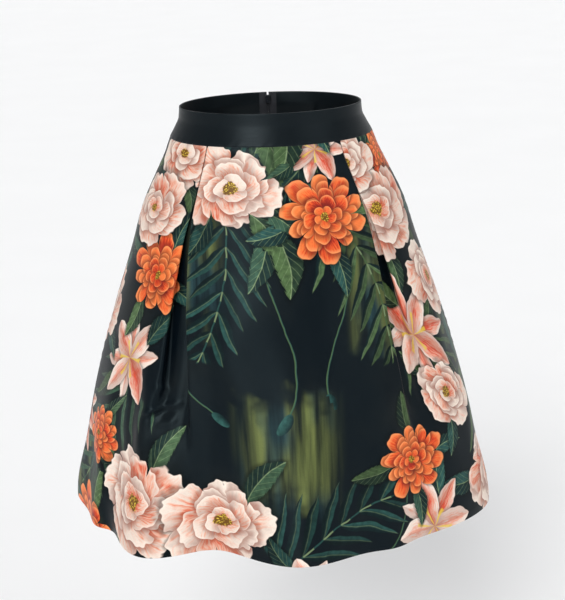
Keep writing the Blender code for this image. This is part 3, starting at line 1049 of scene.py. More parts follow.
class PrintedSatin(Finish):
    """The finish of the skirt's cloth: a painted botanical print on smooth dark satin."""

    GROUND, GROUND_WARM, WRONG_SIDE = paints("060d13 16191a 7e7c7a")
    GREEN, TEAL, DARK, LIGHT = paints("587246 2e5650 0e2021 8ca276")
    STAMEN, STAMEN_DARK = paints("debe46 6e4a18")
    GLOW_GREEN, GLOW_BLUE = paints("7a844a 304c50")
    PAIRS = 3.6
    TEETH = 11.0
    VEINS = 7.0
    STAR_PETALS = 4.0
    FILAMENTS = 6.0

    def __init__(self) -> None:
        """Builds the material, each kind of motif over the ones before it."""
        super().__init__("printed_satin")
        x, y, side = self.attribute("cloth")
        self.flat = self.vector(x, y)
        warp = self.apart(self.noise(self.flat, 30.0, 2.0, out=1))
        self.warp_x, self.warp_y, self.patch = (part - 0.5 for part in warp)
        self.ragged = self.noise(self.flat, 150.0, 3.0) - 0.5
        self.ruffle = self.noise(self.flat, 105.0, 0.0) - 0.5
        smoke = self.noise(self.flat, 9.0, 3.0).step(0.45, 0.80)
        colour = self.blend(smoke, self.GROUND, self.GROUND_WARM)
        colour = self.glow(colour, x, y)
        colour = self.spray(self.stem(colour))
        colour = self.star(self.leaf(colour, Kind.LEAF))
        colour = self.leaf(colour, Kind.LEAF_OVER)
        colour = self.flower(colour, Kind.DAHLIA, DAHLIA)
        colour = self.flower(colour, Kind.BLOSSOM, BLOSSOM)
        colour = self.flower(colour, Kind.BLOSSOM_OVER, BLOSSOM)
        brush = self.noise(self.flat, 420.0, 3.0)
        colour = self.dim(colour, brush * 0.24 + 0.88)
        threads = self.noise(self.vector(x * 3200.0, y * 420.0, side * 40.0), 1.0, 2.0)
        self.dress(
            Base_Color=self.blend(self.mix(side, 0.0, 0.6), colour, self.WRONG_SIDE),
            Roughness=self.mix(side, threads * 0.08 + 0.36, 0.72),
            Specular_IOR_Level=0.14,
            Specular_Tint=(0.70, 0.94, 1.0, 1.0),
            Anisotropic=0.75,
            Anisotropic_Rotation=0.25,
            Normal=self.bump(threads + self.ragged * 1.5, 0.00005, 0.5),
        )

    def place(self, kind: Kind, warp: float) -> Place:
        """Where each point lies in its nearest motif, a little warped.

        Args:
            kind: The kind of motif.
            warp: How strongly the place is warped.

        Returns:
            The place.
        """
        along, across, number = self.attribute(kind.value)
        own = ((number + 0.5).floor() * 0.618).fraction()
        along, across = along + self.warp_x * warp, across + self.warp_y * warp
        turns = self.math("ARCTAN2", across, along) * (0.5 / math.pi)
        return Place(along, across, own, turns, (along * along + across * across).root())

    def glow(self, under: Field, x: Field, y: Field) -> Field:
        """Soft patches of light drawn out into upright streaks.

        Args:
            under: The colour beneath.
            x: Cloth coordinate to the right.
            y: Cloth coordinate down.

        Returns:
            The colour with the patches.
        """
        along, across, _ = self.attribute(Kind.GLOW.value)
        envelope = (1 - abs(along).most(abs(across + self.patch * 1.2))).step(0.0, 0.7)
        streaks = self.noise(self.vector(x * 70.0, y * 5.0), 1.0, 3.0)
        hue = self.noise(self.vector(x * 30.0, y * 9.0, 3.0), 1.0, 1.0).step(0.4, 0.65)
        colour = self.blend(hue, self.GLOW_GREEN, self.GLOW_BLUE)
        return self.blend(envelope * streaks.step(0.28, 0.72) * 0.85, under, colour)

    def stem(self, under: Field) -> Field:
        """Thin curved stems, each with a bud.

        Args:
            under: The colour beneath.

        Returns:
            The colour with the stems.
        """
        at = self.place(Kind.STEM, 0.06)
        line = at.across - (at.along * 2.2 + at.own * 6.0).sine() * 0.26
        stalk = (0.016 - abs(line)).step(0.0, 0.010) * (0.82 - abs(at.along)).step(0.0, 0.02)
        bud = (1 - (((at.along - 0.84) / 0.13) ** 2 + (line / 0.085) ** 2)).step(0.0, 0.2)
        bud_colour = self.blend((line / 0.085).step(-1.0, 0.8), self.DARK, self.TEAL)
        stalk_colour = self.blend((line / 0.016).step(-1.0, 1.0), self.TEAL, self.GREEN)
        colour = self.blend(stalk, under, self.dim(stalk_colour, 0.8))
        return self.blend(bud, colour, self.dim(bud_colour, self.ragged * 1.6 + 1.0))

    def spray(self, under: Field) -> Field:
        """Slender leaves in pairs along a curved stem.

        Args:
            under: The colour beneath.

        Returns:
            The colour with the leaves.
        """
        at = self.place(Kind.SPRAY, 0.10)
        line = at.across - at.along * at.along * 0.25
        away = abs(line)
        cells = (at.along - away * 0.85) * self.PAIRS + at.own * 3.0
        half = self.math("GREATER_THAN", line, 0.0)
        luck = self.chance(cells.floor() + at.own * 9.0 + half * 5.0)
        part = (away / ((luck * 0.30 + 0.52) * (1.15 - at.along * 0.45))).least(1.0)
        width = part**0.6 * (1 - part) * 1.05
        offset = cells.fraction() - 0.5
        inside = (width - abs(offset)).step(0.0, 0.07) * (0.92 - abs(at.along)).step(0.0, 0.05)
        lit = (offset / width.most(0.02)).step(-0.5, 0.6)
        green = self.blend(at.own.step(0.3, 0.7), self.TEAL, self.GREEN)
        rib = (0.05 - abs(offset)).step(0.0, 0.03)
        colour = self.blend(rib * 0.28, self.blend(lit, self.DARK, green), self.LIGHT)
        depth = self.chance(at.own * 23.0) * 0.5 + 0.5
        colour = self.dim(colour, (luck * 0.6 + 0.45) * depth * (self.ragged * 1.4 + 1.0))
        stalk = (0.018 - away).step(0.0, 0.010) * (0.95 - abs(at.along)).step(0.0, 0.03)
        stalk_colour = self.dim(self.blend(lit, green, self.LIGHT), 0.6)
        return self.blend(stalk, self.blend(inside, under, colour), stalk_colour)

    def leaf(self, under: Field, kind: Kind) -> Field:
        """Broad toothed leaves with a midrib and side veins.

        Args:
            under: The colour beneath.
            kind: Which kind's places they take.

        Returns:
            The colour with the leaves.
        """
        at = self.place(kind, 0.14)
        part = (at.along * 0.5 + 0.5).within(0.0, 1.0)
        line = at.across - at.along * at.along * 0.22
        away = abs(line)
        teeth = (part * self.TEETH + away * 4.0).fraction() * 0.06
        width = (part * (1 - part) * 4.0) ** 0.8 * (0.66 - part * 0.30) + self.ruffle * 0.05
        inside = (width - teeth - away).step(0.0, 0.025) * (1.0 - abs(at.along)).step(0.0, 0.03)
        green = self.blend(at.own.step(0.35, 0.65), self.TEAL, self.GREEN)
        lit = line.step(-0.05, 0.05) * 0.7 + 0.15 + self.patch * 0.8
        veins = abs((part * self.VEINS - away * 4.2).fraction() - 0.5).step(0.10, 0.0)
        colour = self.blend(veins * 0.35, self.blend(lit, self.DARK, green), self.LIGHT)
        colour = self.blend((0.030 - away).step(0.0, 0.02) * 0.7, colour, self.LIGHT)
        edge = (width - away).step(0.12, 0.0)
        depth = self.chance(at.own * 31.0) * 0.5 + 0.55
        colour = self.dim(colour, (1 - edge * 0.4) * depth * (self.ragged * 1.4 + 0.95))
        around = (width + 0.16 - away).step(0.0, 0.20) * (1.15 - abs(at.along)).step(0.0, 0.2)
        return self.blend(inside, self.dim(under, 1 - around * 0.55), colour)

    def flower(self, under: Field, kind: Kind, flower: Flower) -> Field:
        """Round flowers of overlapping petals with a tuft of yellow stamens.

        Args:
            under: The colour beneath.
            kind: Which kind's places they take.
            flower: Their form and tones.

        Returns:
            The colour with the flowers.
        """
        at = self.place(kind, flower.warp)
        mask, halo, petal = self.petals(at, flower)
        colour = self.petal_colour(at, petal, flower.tones)
        spots = self.dots(self.vector(at.along, at.across, at.own * 20.0), flower.dots)
        ring = (flower.tuft * 1.35 - at.radius + self.ragged * 0.2).step(0.0, 0.08) * 0.5
        colour = self.blend(ring * spots.step(0.45, 0.25), colour, self.STAMEN)
        tuft = (flower.tuft - at.radius + self.ragged * 0.16).step(0.0, 0.03)
        stamens = self.blend(spots.step(0.55, 0.15), self.STAMEN_DARK, self.STAMEN)
        return self.blend(mask, self.dim(under, halo), self.blend(tuft, colour, stamens))

    def petals(self, at: Place, flower: Flower) -> tuple[Field, Field, Petal]:
        """Rings of petals: the flower's mask, the shade it casts round itself, the top petal.

        Args:
            at: Where each point lies in the flower.
            flower: The flower.

        Returns:
            The mask, the shade and the petal.
        """
        mask = halo = petal = None
        for level, whorl in enumerate(flower.whorls):
            across = at.turns * whorl.count + at.radius * whorl.swirl
            across = across + (at.own * 7.0 + whorl.turn)
            here = across.fraction()
            luck = self.chance(across.floor().wrap(whorl.count) + at.own * 13.0 + level * 3.7)
            bow = (here * (1 - here) * 4.0).root() * whorl.bow + (1 - whorl.bow)
            reach = (bow + (luck - 0.5) * 0.30 + self.ruffle * flower.ruffle) * whorl.reach
            out = at.radius / reach
            inside = out.step(1.0, 0.975)
            cast = out.step(0.97, 1.0 + 0.17 / whorl.reach) * 0.62 + 0.38
            top = Petal(here, out, luck, 1.0)
            if petal:
                under = petal._replace(shade=cast * petal.shade)
                petal = Petal(*(self.mix(inside, *pair) for pair in zip(under, top)))
            else:
                mask, halo, petal = inside, cast, top
        return mask, halo, petal

    def petal_colour(self, at: Place, petal: Petal, tones: Tones) -> Field:
        """The colour of a petal: streaked, flushed at its base, pale at its rim, softly lit.

        Args:
            at: Where each point lies in the flower.
            petal: Where it lies on its petal.
            tones: The flower's tones.

        Returns:
            The colour.
        """
        part, depth, luck, shade = petal
        streaks = self.vector(part * 3.6 + luck * 7.0, depth * 0.7, luck * 11.0)
        streaks = self.noise(streaks, 6.0, 4.0)
        warmth = (1 - depth) * 0.75 + (streaks - 0.5) * 1.5 + (luck - 0.5) * 0.75
        warmth = warmth + self.patch * 1.1
        colour = self.blend(warmth.step(0.05, 0.60), tones.pale, tones.mid)
        colour = self.blend(warmth.step(0.44, 0.88), colour, tones.deep)
        colour = self.blend(depth.step(0.86, 0.99) * 0.6, colour, tones.rim)
        form = part.step(0.0, 0.42) * 0.50 + 0.50 - part.step(0.72, 1.0) * 0.22
        sun = (at.across * -0.6 - at.along * 0.3) / at.radius.most(0.05)
        light = (form * shade + sun * 0.10).within(0.0, 1.0)
        return self.dim(self.blend(light, tones.shadow, colour), streaks * 0.36 + 0.84)

    def star(self, under: Field) -> Field:
        """Clematis flowers of eight pointed petals, in two layers, with a flushed stripe.

        Args:
            under: The colour beneath.

        Returns:
            The colour with the flowers.
        """
        at = self.place(Kind.STAR, 0.12)
        near = (1.3 - at.radius).step(0.0, 0.1)
        result = under
        for level, (turn, girth) in enumerate(((0.0, 0.21), (0.5, 0.27))):
            across = at.turns * self.STAR_PETALS + (at.own * 5.0 + turn)
            number = (across + 0.5).floor()
            luck = self.chance(number.wrap(self.STAR_PETALS) + at.own * 17.0 + level * 4.1)
            swing = (across - number) * (math.tau / self.STAR_PETALS) + (luck - 0.5) * 0.3
            along = (at.radius * swing.cosine()).most(0.0)
            line = at.radius * swing.sine() - along * along * (luck - 0.5) * 0.5
            part = (along / (luck * 0.28 + 0.74)).least(1.0)
            width = part.root() * (1 - part * part) * (girth * 1.45) + self.ruffle * 0.04
            width = width - part.step(0.90, 1.0) * 0.03
            inside = (width - abs(line)).step(0.0, 0.018) * near
            rise = line / width.most(0.02)
            streaks = self.noise(self.vector(rise * 2.0 + luck * 5.0, part * 1.2, luck * 9.0), 5.0)
            flush = (1 - abs(rise)) * 0.7 + (0.55 - abs(part - 0.42)) * 0.7
            flush = flush + (streaks - 0.5) * 1.3 + (luck - 0.5) * 0.6
            colour = self.blend(flush.step(0.35, 0.85), CLEMATIS.pale, CLEMATIS.mid)
            colour = self.blend(flush.step(0.80, 1.25), colour, CLEMATIS.deep)
            colour = self.blend(abs(rise).step(0.80, 0.98) * 0.6, colour, CLEMATIS.rim)
            fold = rise.step(-0.12, 0.16) * 0.36 + 0.64
            base = part.step(0.0, 0.40) * 0.55 + 0.45
            colour = self.blend(fold * base, CLEMATIS.shadow, colour)
            colour = self.dim(colour, streaks * 0.36 + 0.84)
            shadow = (width + 0.07 - abs(line)).step(0.0, 0.09) * near * 0.60
            result = self.blend(inside, self.dim(result, 1 - shadow), colour)
        filaments = (at.turns * self.FILAMENTS + at.own * 5.0).fraction() - 0.5
        tuft = abs(filaments).step(0.14, 0.04) * (0.36 - at.radius).step(0.0, 0.04) * near
        return self.blend(tuft * 0.8, result, self.STAMEN)


class BandSatin(Finish):
    """Plain dark satin, a little more matt than the skirt's."""

    def __init__(self) -> None:
        """Builds the material."""
        super().__init__("band_satin")
        x, y, side = self.attribute("cloth")
        threads = self.noise(self.vector(x * 520.0, y * 3000.0, side * 40.0), 1.0, 2.0)
        slubs = self.noise(self.vector(x * 60.0, y * 700.0, side), 1.0, 2.0)
        self.dress(
            Base_Color=self.dim(paint("090f13"), threads * 0.20 + slubs * 0.24 + 0.78),
            Roughness=slubs * 0.14 + 0.37,
            Specular_IOR_Level=0.20,
            Specular_Tint=(0.78, 0.94, 1.0, 1.0),
            Anisotropic=0.8,
            Anisotropic_Rotation=0.25,
            Normal=self.bump(threads + slubs * 0.6, 0.00005, 0.6),
        )


class Woven(Finish):
    """A plain woven or twisted finish, for tape and thread."""

    def __init__(self, name: str, colour: Colour, scale: float) -> None:
        """Builds the material.

        Args:
            name: The material's name.
            colour: Its main colour.
            scale: How fine its grain is.
        """
        super().__init__(name)
        grain = self.noise(self.object_place(), scale, 2.0)
        pale = tuple(min(1.0, value * 1.7 + 0.01) for value in colour)
        self.dress(
            Base_Color=self.blend(grain.step(0.35, 0.70), colour, pale),
            Roughness=grain * 0.2 + 0.68,
            Normal=self.bump(grain, 0.0001, 0.6),
        )


class Enamel(Finish):
    """Dark enamel on the zip's metal, worn a little paler."""

    def __init__(self) -> None:
        """Builds the material."""
        super().__init__("zip_metal")
        wear = self.noise(self.object_place(), 900.0, 3.0)
        self.dress(
            Base_Color=self.blend(wear.step(0.55, 0.75), *paints("22262c 464c54")),
            Roughness=wear * 0.2 + 0.24,
            Metallic=0.6,
            Normal=self.bump(wear, 0.00004, 0.3),
        )


# ---------------------------------------------------------------- sewing


class Bead(NamedTuple):
    """A stitch or tooth: its spacing, sizes, and its turn from the path in degrees."""

    pitch: float
    length: float
    width: float
    height: float
    turn: float


Stitches = dict[str, tuple[Bead, list[Path]]]

OVERLOCK = Bead(0.0021, 0.0040, 0.00042, 0.00034, 62.0)
BLIND_HEM = Bead(0.0090, 0.0026, 0.00040, 0.00034, 35.0)
RUNNING = Bead(0.0028, 0.0022, 0.00040, 0.00030, 0.0)
SEAM = Bead(0.0016, 0.0027, 0.00080, 0.00080, 0.0)
COIL = Bead(0.0013, 0.0042, 0.00085, 0.0013, 84.0)


class BeadTree(NodeTree):
    """Geometry Nodes that set rounded beads along a path, such as stitches or a zip's coil."""

    SIZES = ("Pitch", "Length", "Width", "Height", "Turn")
    SEED = 11
    SEGMENTS = 6
    RINGS = 4
    SLACK = 0.07

    def __init__(self) -> None:
        """Builds the node tree."""
        super().__init__(bpy.data.node_groups.new("beads_on_a_path", "GeometryNodeTree"))
        kinds = {"Path": "Geometry", **dict.fromkeys(self.SIZES, "Float"), "Finish": "Material"}
        self.keys = {name: self.socket(name, kind, "INPUT") for name, kind in kinds.items()}
        self.socket("Beads", "Geometry", "OUTPUT")
        outputs = self.node("NodeGroupInput", {}).outputs
        path, pitch, *sizes, turn, finish = (Field(self, outputs[name]) for name in kinds)
        curve = self.make("GeometryNodeMeshToCurve", {"Mesh": path})
        values = {"Curve": curve, "Length": pitch}
        spaced = self.make("GeometryNodeResampleCurve", values, mode="LENGTH")
        align = "FunctionNodeAlignRotationToVector"
        tangent = self.make("GeometryNodeInputTangent", {})
        ahead = self.make(align, {"Vector": tangent}, axis="X")
        up = self.make("GeometryNodeInputNamedAttribute", {"Name": "up"}, data_type="FLOAT_VECTOR")
        upright = self.make(align, {"Rotation": ahead, "Vector": up}, axis="Z", pivot_axis="X")
        values = {2: -self.SLACK, 3: self.SLACK, "Seed": self.SEED}
        slack = self.make("FunctionNodeRandomValue", values, 1, data_type="FLOAT")
        spin = self.vector(0.0, 0.0, turn + slack)
        values = {"Rotation": upright, "Rotate By": spin}
        turned = self.make("FunctionNodeRotateRotation", values, rotation_space="LOCAL")
        values = {"Segments": self.SEGMENTS, "Rings": self.RINGS, "Radius": 0.5}
        ball = self.make("GeometryNodeMeshUVSphere", values)
        values = {"Points": spaced, "Instance": ball, "Rotation": turned}
        values["Scale"] = self.vector(*sizes)
        placed = self.make("GeometryNodeInstanceOnPoints", values)
        real = self.make("GeometryNodeRealizeInstances", {0: placed})
        dressed = self.make("GeometryNodeSetMaterial", {"Geometry": real, "Material": finish})
        self.node("NodeGroupOutput", {"Beads": dressed})

    def socket(self, name: str, kind: str, way: str) -> str:
        """Adds an input or output to the tree, and gives its identifier."""
        face = self.tree.interface
        return face.new_socket(name, in_out=way, socket_type="NodeSocket" + kind).identifier

    def run(
        self, name: str, paths: Sequence[Path], bead: Bead, material: bpy.types.Material
    ) -> bpy.types.Object:
        """Sets beads along some paths and turns the result into a plain mesh object.

        Args:
            name: The new object's name.
            paths: Each path's points, and the directions that face away from the cloth there.
            bead: The bead's sizes.
            material: Its finish.

        Returns:
            The object.
        """
        points, upward = (np.concatenate(parts) for parts in zip(*paths))
        ends = np.cumsum([len(path) for path, _ in paths])
        edges = [(i, i + 1) for i in range(len(points) - 1) if i + 1 not in ends]
        route = bpy.data.meshes.new(name + "_route")
        route.from_pydata(points.tolist(), edges, [])
        put_vectors(route, "up", "POINT", upward)
        guide = add_object(name + "_route", route)
        modifier = guide.modifiers.new("Beads", "NODES")
        modifier.node_group = self.tree
        for key, value in zip(self.SIZES, (*bead[:-1], math.radians(bead.turn))):
            modifier[self.keys[key]] = value
        modifier[self.keys["Finish"]] = material
        mesh = take_mesh(guide)
        mesh.name = name
        mesh.shade_smooth()
        return add_object(name, mesh)


# ---------------------------------------------------------------- sub-assemblies


class Crease(NamedTuple):
    """A soft ridge, or with a negative height a trough, between two places on the cloth."""

    x: float
    y: float
    end_x: float
    end_y: float
    width: float
    height: float

    WANDER = 0.25
    RISE = (-0.08, 0.30)
    FALL = (0.65, 1.08)

    def relief(self, x: np.ndarray, y: np.ndarray) -> np.ndarray:
        """How far the crease stands out at some places, wandering a little and fading out.

        Args:
            x: Cloth coordinates to the right.
            y: Cloth coordinates down.

        Returns:
            The relief in metres.
        """
        run = np.array([self.end_x - self.x, self.end_y - self.y])
        length = float(np.hypot(*run))
        way = run / length
        along = (x - self.x) * way[0] + (y - self.y) * way[1]
        across = (y - self.y) * way[0] - (x - self.x) * way[1]
        part = along / length
        wander = self.WANDER * self.width * np.sin(along * 46.0 + self.x * 90.0)
        taper = ease(part, *self.RISE) * (1 - ease(part, *self.FALL))
        return self.height * taper * np.exp(-(((across + wander) / self.width) ** 2))


class End(Enum):
    """An end of a cut piece. Each value is the column of the mesh along it."""

    FIRST = 0
    LAST = -1


@dataclass
class Cut:
    """A cut piece of cloth between two seams.

    Attributes:
        name: The piece's name: its solid's, with the cloth's at the end.
        start: Angle of its first seam.
        end: Angle of its last seam.
        pleats: Its pleats, or the angles of their middles on the waistband.
    """

    name: str
    start: float
    end: float
    pleats: tuple

    def put_up(self, grid: ClothGrid, right: np.ndarray, wrong: np.ndarray) -> None:
        """Keeps the middle surface and how far the wall's two sides stand off it."""
        self.grid, self.right, self.wrong = grid, right, wrong

    @property
    def node(self) -> str:
        """The name of the solid that the piece stands for."""
        return self.name.removesuffix("_satin")

    def inside(self, row: slice | int, column: slice | int, lift: float) -> Path:
        """Points a little off the wrong side, along a row or a column, and the way off it.

        Args:
            row: A row of the mesh, or some rows.
            column: A column, or some columns.
            lift: How far off the cloth the points lie.

        Returns:
            The points and the way off the cloth.
        """
        outward = self.grid.outward[row, column]
        depth = self.wrong[row, column][:, None] + lift
        return self.grid.points[row, column] - outward * depth, -outward

    def along(self, rows: slice, ends: Sequence[End]) -> list[Path]:
        """Paths along some of its ends, in the middle of the wall."""
        points, outward, _ = self.grid
        return [(points[rows, end.value], outward[rows, end.value]) for end in ends]

    def stitches(self) -> Stitches:
        """Each kind's stitch and its paths, by the end of its mesh's name."""
        raise NotImplementedError

    def sew(self, beads: BeadTree, thread: bpy.types.Material) -> None:
        """Makes the piece's stitches, each kind a mesh of its own.

        Args:
            beads: The tree that makes the stitches.
            thread: Their finish.
        """
        for suffix, (bead, paths) in self.stitches().items():
            if paths:
                declare(beads.run(self.name + suffix, paths, bead, thread))


@dataclass
class SkirtPanel(Cut):
    """One cut piece of the skirt.

    Attributes:
        grain: Angle along which its straight grain runs.
        panel_counts: Spans of the mesh on each plain panel.
        cut_from: Where on the printed cloth its top middle lies.
        creases: Its creases, in its own cloth coordinates.
        sewn: The ends whose seams this piece makes.
        sewn_from: Drop from which they are sewn.
        wall: The cloth's thickness.
        inset: The middle surface's distance inside the solid's outer face.
        hem: Depth of the turned-up hem.
        opens: Drop from which creases run on across the opening pleats.
        open: Drop below which they run across them freely.
        fold_room: Width beside a pleat over which creases fade out.
        turned_up: How much thicker the turnings make the cloth.
        tucked: How far the waist seam draws the cloth in.
    """

    grain: float
    panel_counts: tuple[int, ...]
    cut_from: tuple[float, float]
    creases: tuple[Crease, ...]
    sewn: tuple[End, ...]
    sewn_from: float = 0.0
    wall: float = 0.0007
    inset: float = 0.0006
    hem: float = 0.028
    opens: float = 0.29
    open: float = 0.35
    fold_room: float = 0.016
    turned_up: float = 0.00065
    tucked: float = 0.0009

    FOLD_PLACES = (-0.66, -0.33, 0.0, 0.33, 0.66, 1.0)
    PLEAT_COUNTS = (6, 9, 6)
    EDGE_PLACES = (0.0, 0.0010, 0.0030, 0.0080, 0.0144, 0.0152)
    HEM_PLACES = (0.0276, 0.0284, 0.0200, 0.0120, 0.0060, 0.0025, 0.0008, 0.0)
    ROW_ZONES = ((0.300, 0.0045), (0.430, 0.0023), (None, 0.0045))
    TOP_PLACES = (0.0, 0.0006, 0.0014, 0.0026)
    OVERLOCKED = slice(2, -8)
    SEAM_TURNING = (0.0146, 0.0152)
    HEM_TURNING = (0.0279, 0.0287)
    TUCK_REACH = 0.0030
    RIPPLE = 0.0006
    RIPPLE_FROM = (0.02, 0.10)
    SEAM_PUCKER = 0.00030
    SEAM_REACH = 0.006
    WAIST_PUCKER = 0.00025
    WAIST_REACH = 0.004
    WAIST_FROM = (0.0, 0.002)
    THREAD_SINK = 0.3

    def drops(self) -> np.ndarray:
        """The drop of each row of the mesh, close together at seam, hem and finest creases.

        Returns:
            The drops, rising.
        """
        rows = [BAND_HEIGHT + SEAM_GAP + np.array(self.TOP_PLACES)]
        rows.append(SKIRT_BOTTOM - np.array(self.HEM_PLACES))
        start = rows[0][-1]
        for end, step in self.ROW_ZONES:
            end = end or rows[1].min()
            rows.append(np.linspace(start, end, round((end - start) / step) + 1))
            start = end
        return np.unique(np.concatenate(rows))

    def sample(self, section: Section) -> np.ndarray:
        """Arc lengths of one row's points: even on the panels, close together round each fold.

        Args:
            section: The row's section.

        Returns:
            The arc lengths, rising.
        """
        first, last = section.first + SEAM_GAP / 2, section.last - SEAM_GAP / 2
        counts = [n for count in self.panel_counts[:-1] for n in (count, *self.PLEAT_COUNTS)]
        edge = np.array(self.EDGE_PLACES)
        arcs = list(first + edge)
        for count, (middle, half) in zip(counts, section.folds()):
            arcs += list(np.linspace(arcs[-1], middle - half, count + 1)[1:])
            arcs += [middle + half * place for place in self.FOLD_PLACES]
        final = np.linspace(arcs[-1], last - edge[-1], self.panel_counts[-1] + 1)[1:]
        return np.array([*arcs, *final, *(last - edge[-2::-1])])

    def row(self, drop: float) -> tuple[np.ndarray, ...]:
        """One row: points, outward directions, spans from the grain, freedom and length.

        Args:
            drop: The row's drop.

        Returns:
            The first four as arrays, and the cloth's length.
        """
        section = Section(drop, self.start, self.end, self.inset, self.pleats)
        arcs = self.sample(section)
        ends = {self.start: section.first, self.end: section.last}
        zero = ends[self.grain] if self.grain in ends else section.arc_at(self.grain)
        folds = section.folds()
        free = np.ones(len(arcs))
        for first in range(0, len(folds), len(Section.FOLDS)):
            (low, low_half), *_, (high, high_half) = folds[first : first + len(Section.FOLDS)]
            outside = np.maximum(low - low_half - arcs, arcs - (high + high_half))
            free *= ease(outside, 0.0, self.fold_room)
        free = np.maximum(free, ease(drop, self.opens, self.open))
        return *section.row(arcs), arcs - zero, free, section.last - section.first

    def lay_out(self) -> None:
        """Works out the piece's middle surface and its cloth coordinates."""
        drops = self.drops()
        rows = zip(*(self.row(drop) for drop in drops))
        points, outward, self.spans, self.free, self.lengths = (np.array(part) for part in rows)
        slants = np.hypot(np.diff(drops), np.diff(RINGS.read("half_depth", drops)))
        self.down = np.concatenate([[0.0], np.cumsum(slants)])
        flare, top = np.polyfit(self.down, self.lengths, 1)
        apex = top / flare
        reach = (apex + self.down)[:, None]
        swing = self.spans / reach
        cloth = np.stack([reach * np.sin(swing), reach * np.cos(swing) - apex], axis=-1)
        self.middle = ClothGrid(points, outward, cloth)

    def relief(self, edges: np.ndarray) -> np.ndarray:
        """How far creases, ripples and the seams' pucker stand out.

        Args:
            edges: Each point's distance to the nearer seam.

        Returns:
            The relief in metres.
        """
        x, y = np.moveaxis(self.middle.cloth, -1, 0)
        height = sum(crease.relief(x, y) for crease in self.creases)
        ripple = np.sin(x * 41.0 + y * 13.0) * np.sin(y * 27.0 - x * 19.0 + 1.0)
        height = (height + self.RIPPLE * ripple * ease(y, *self.RIPPLE_FROM)) * self.free
        seam = np.exp(-edges / self.SEAM_REACH) * np.sin(y * 480.0 + np.sin(y * 61.0) * 2.0)
        waist = np.exp(-y / self.WAIST_REACH) * np.sin(x * 560.0) * ease(y, *self.WAIST_FROM)
        height += self.SEAM_PUCKER * seam
        height += self.WAIST_PUCKER * waist
        return height

    def build(self, material: bpy.types.Material, layout: PrintLayout) -> str:
        """Args:
            material: The printed satin.
            layout: The print's layout.

        Returns:
            The piece's flat size, in words.
        """
        self.lay_out()
        edges = np.minimum(self.spans - self.spans[:, :1], self.spans[:, -1:] - self.spans)
        from_hem = (self.down[-1] - self.down)[:, None]
        tuck = self.tucked * (1 - ease(self.down, 0.0, self.TUCK_REACH))[:, None]
        relief = self.relief(edges)
        single = (ease(edges, *self.SEAM_TURNING), ease(from_hem, *self.HEM_TURNING))
        turned = np.maximum(*(1 - part for part in single))
        right = self.wall / 2 + relief - tuck
        wrong = self.wall / 2 - relief + tuck + turned * self.turned_up
        grid = self.middle._replace(cloth=self.middle.cloth + np.array(self.cut_from))
        self.put_up(grid, right, wrong)
        shell = Shell(grid, right, wrong, -1.0)
        piece = shell.build(self.name, material)
        layout.put_on(shell, piece)
        declare(piece, self.node)
        flat = (float(np.ptp(grid.cloth[..., 0])), float(np.ptp(grid.cloth[..., 1])))
        area = float(np.trapz(self.lengths, self.down))
        return f"{flat[0]:.3f} x {flat[1]:.3f} m, {area:.3f} m2"

    def stitches(self) -> Stitches:
        """The turnings' overlocked edges, the blind-stitched hem and the seams.

        Returns:
            Each kind's stitch and its paths, by the end of its mesh's name.
        """
        edge = len(self.EDGE_PLACES) - 1
        columns = slice(edge, -edge)
        hem_row = int(np.argmin(np.abs(self.down[-1] - self.down - self.hem)))
        lift = OVERLOCK.height * self.THREAD_SINK
        free = [self.inside(self.OVERLOCKED, column, lift) for column in (edge, -edge - 1)]
        free.append(self.inside(hem_row, columns, lift))
        hem = [self.inside(hem_row - 1, columns, BLIND_HEM.height * self.THREAD_SINK)]
        sewn = slice(int(np.searchsorted(self.drops(), self.sewn_from)), -1)
        return {
            "_overlock": (OVERLOCK, free),
            "_hem_stitches": (BLIND_HEM, hem),
            "_seam": (SEAM, self.along(sewn, self.sewn)),
        }


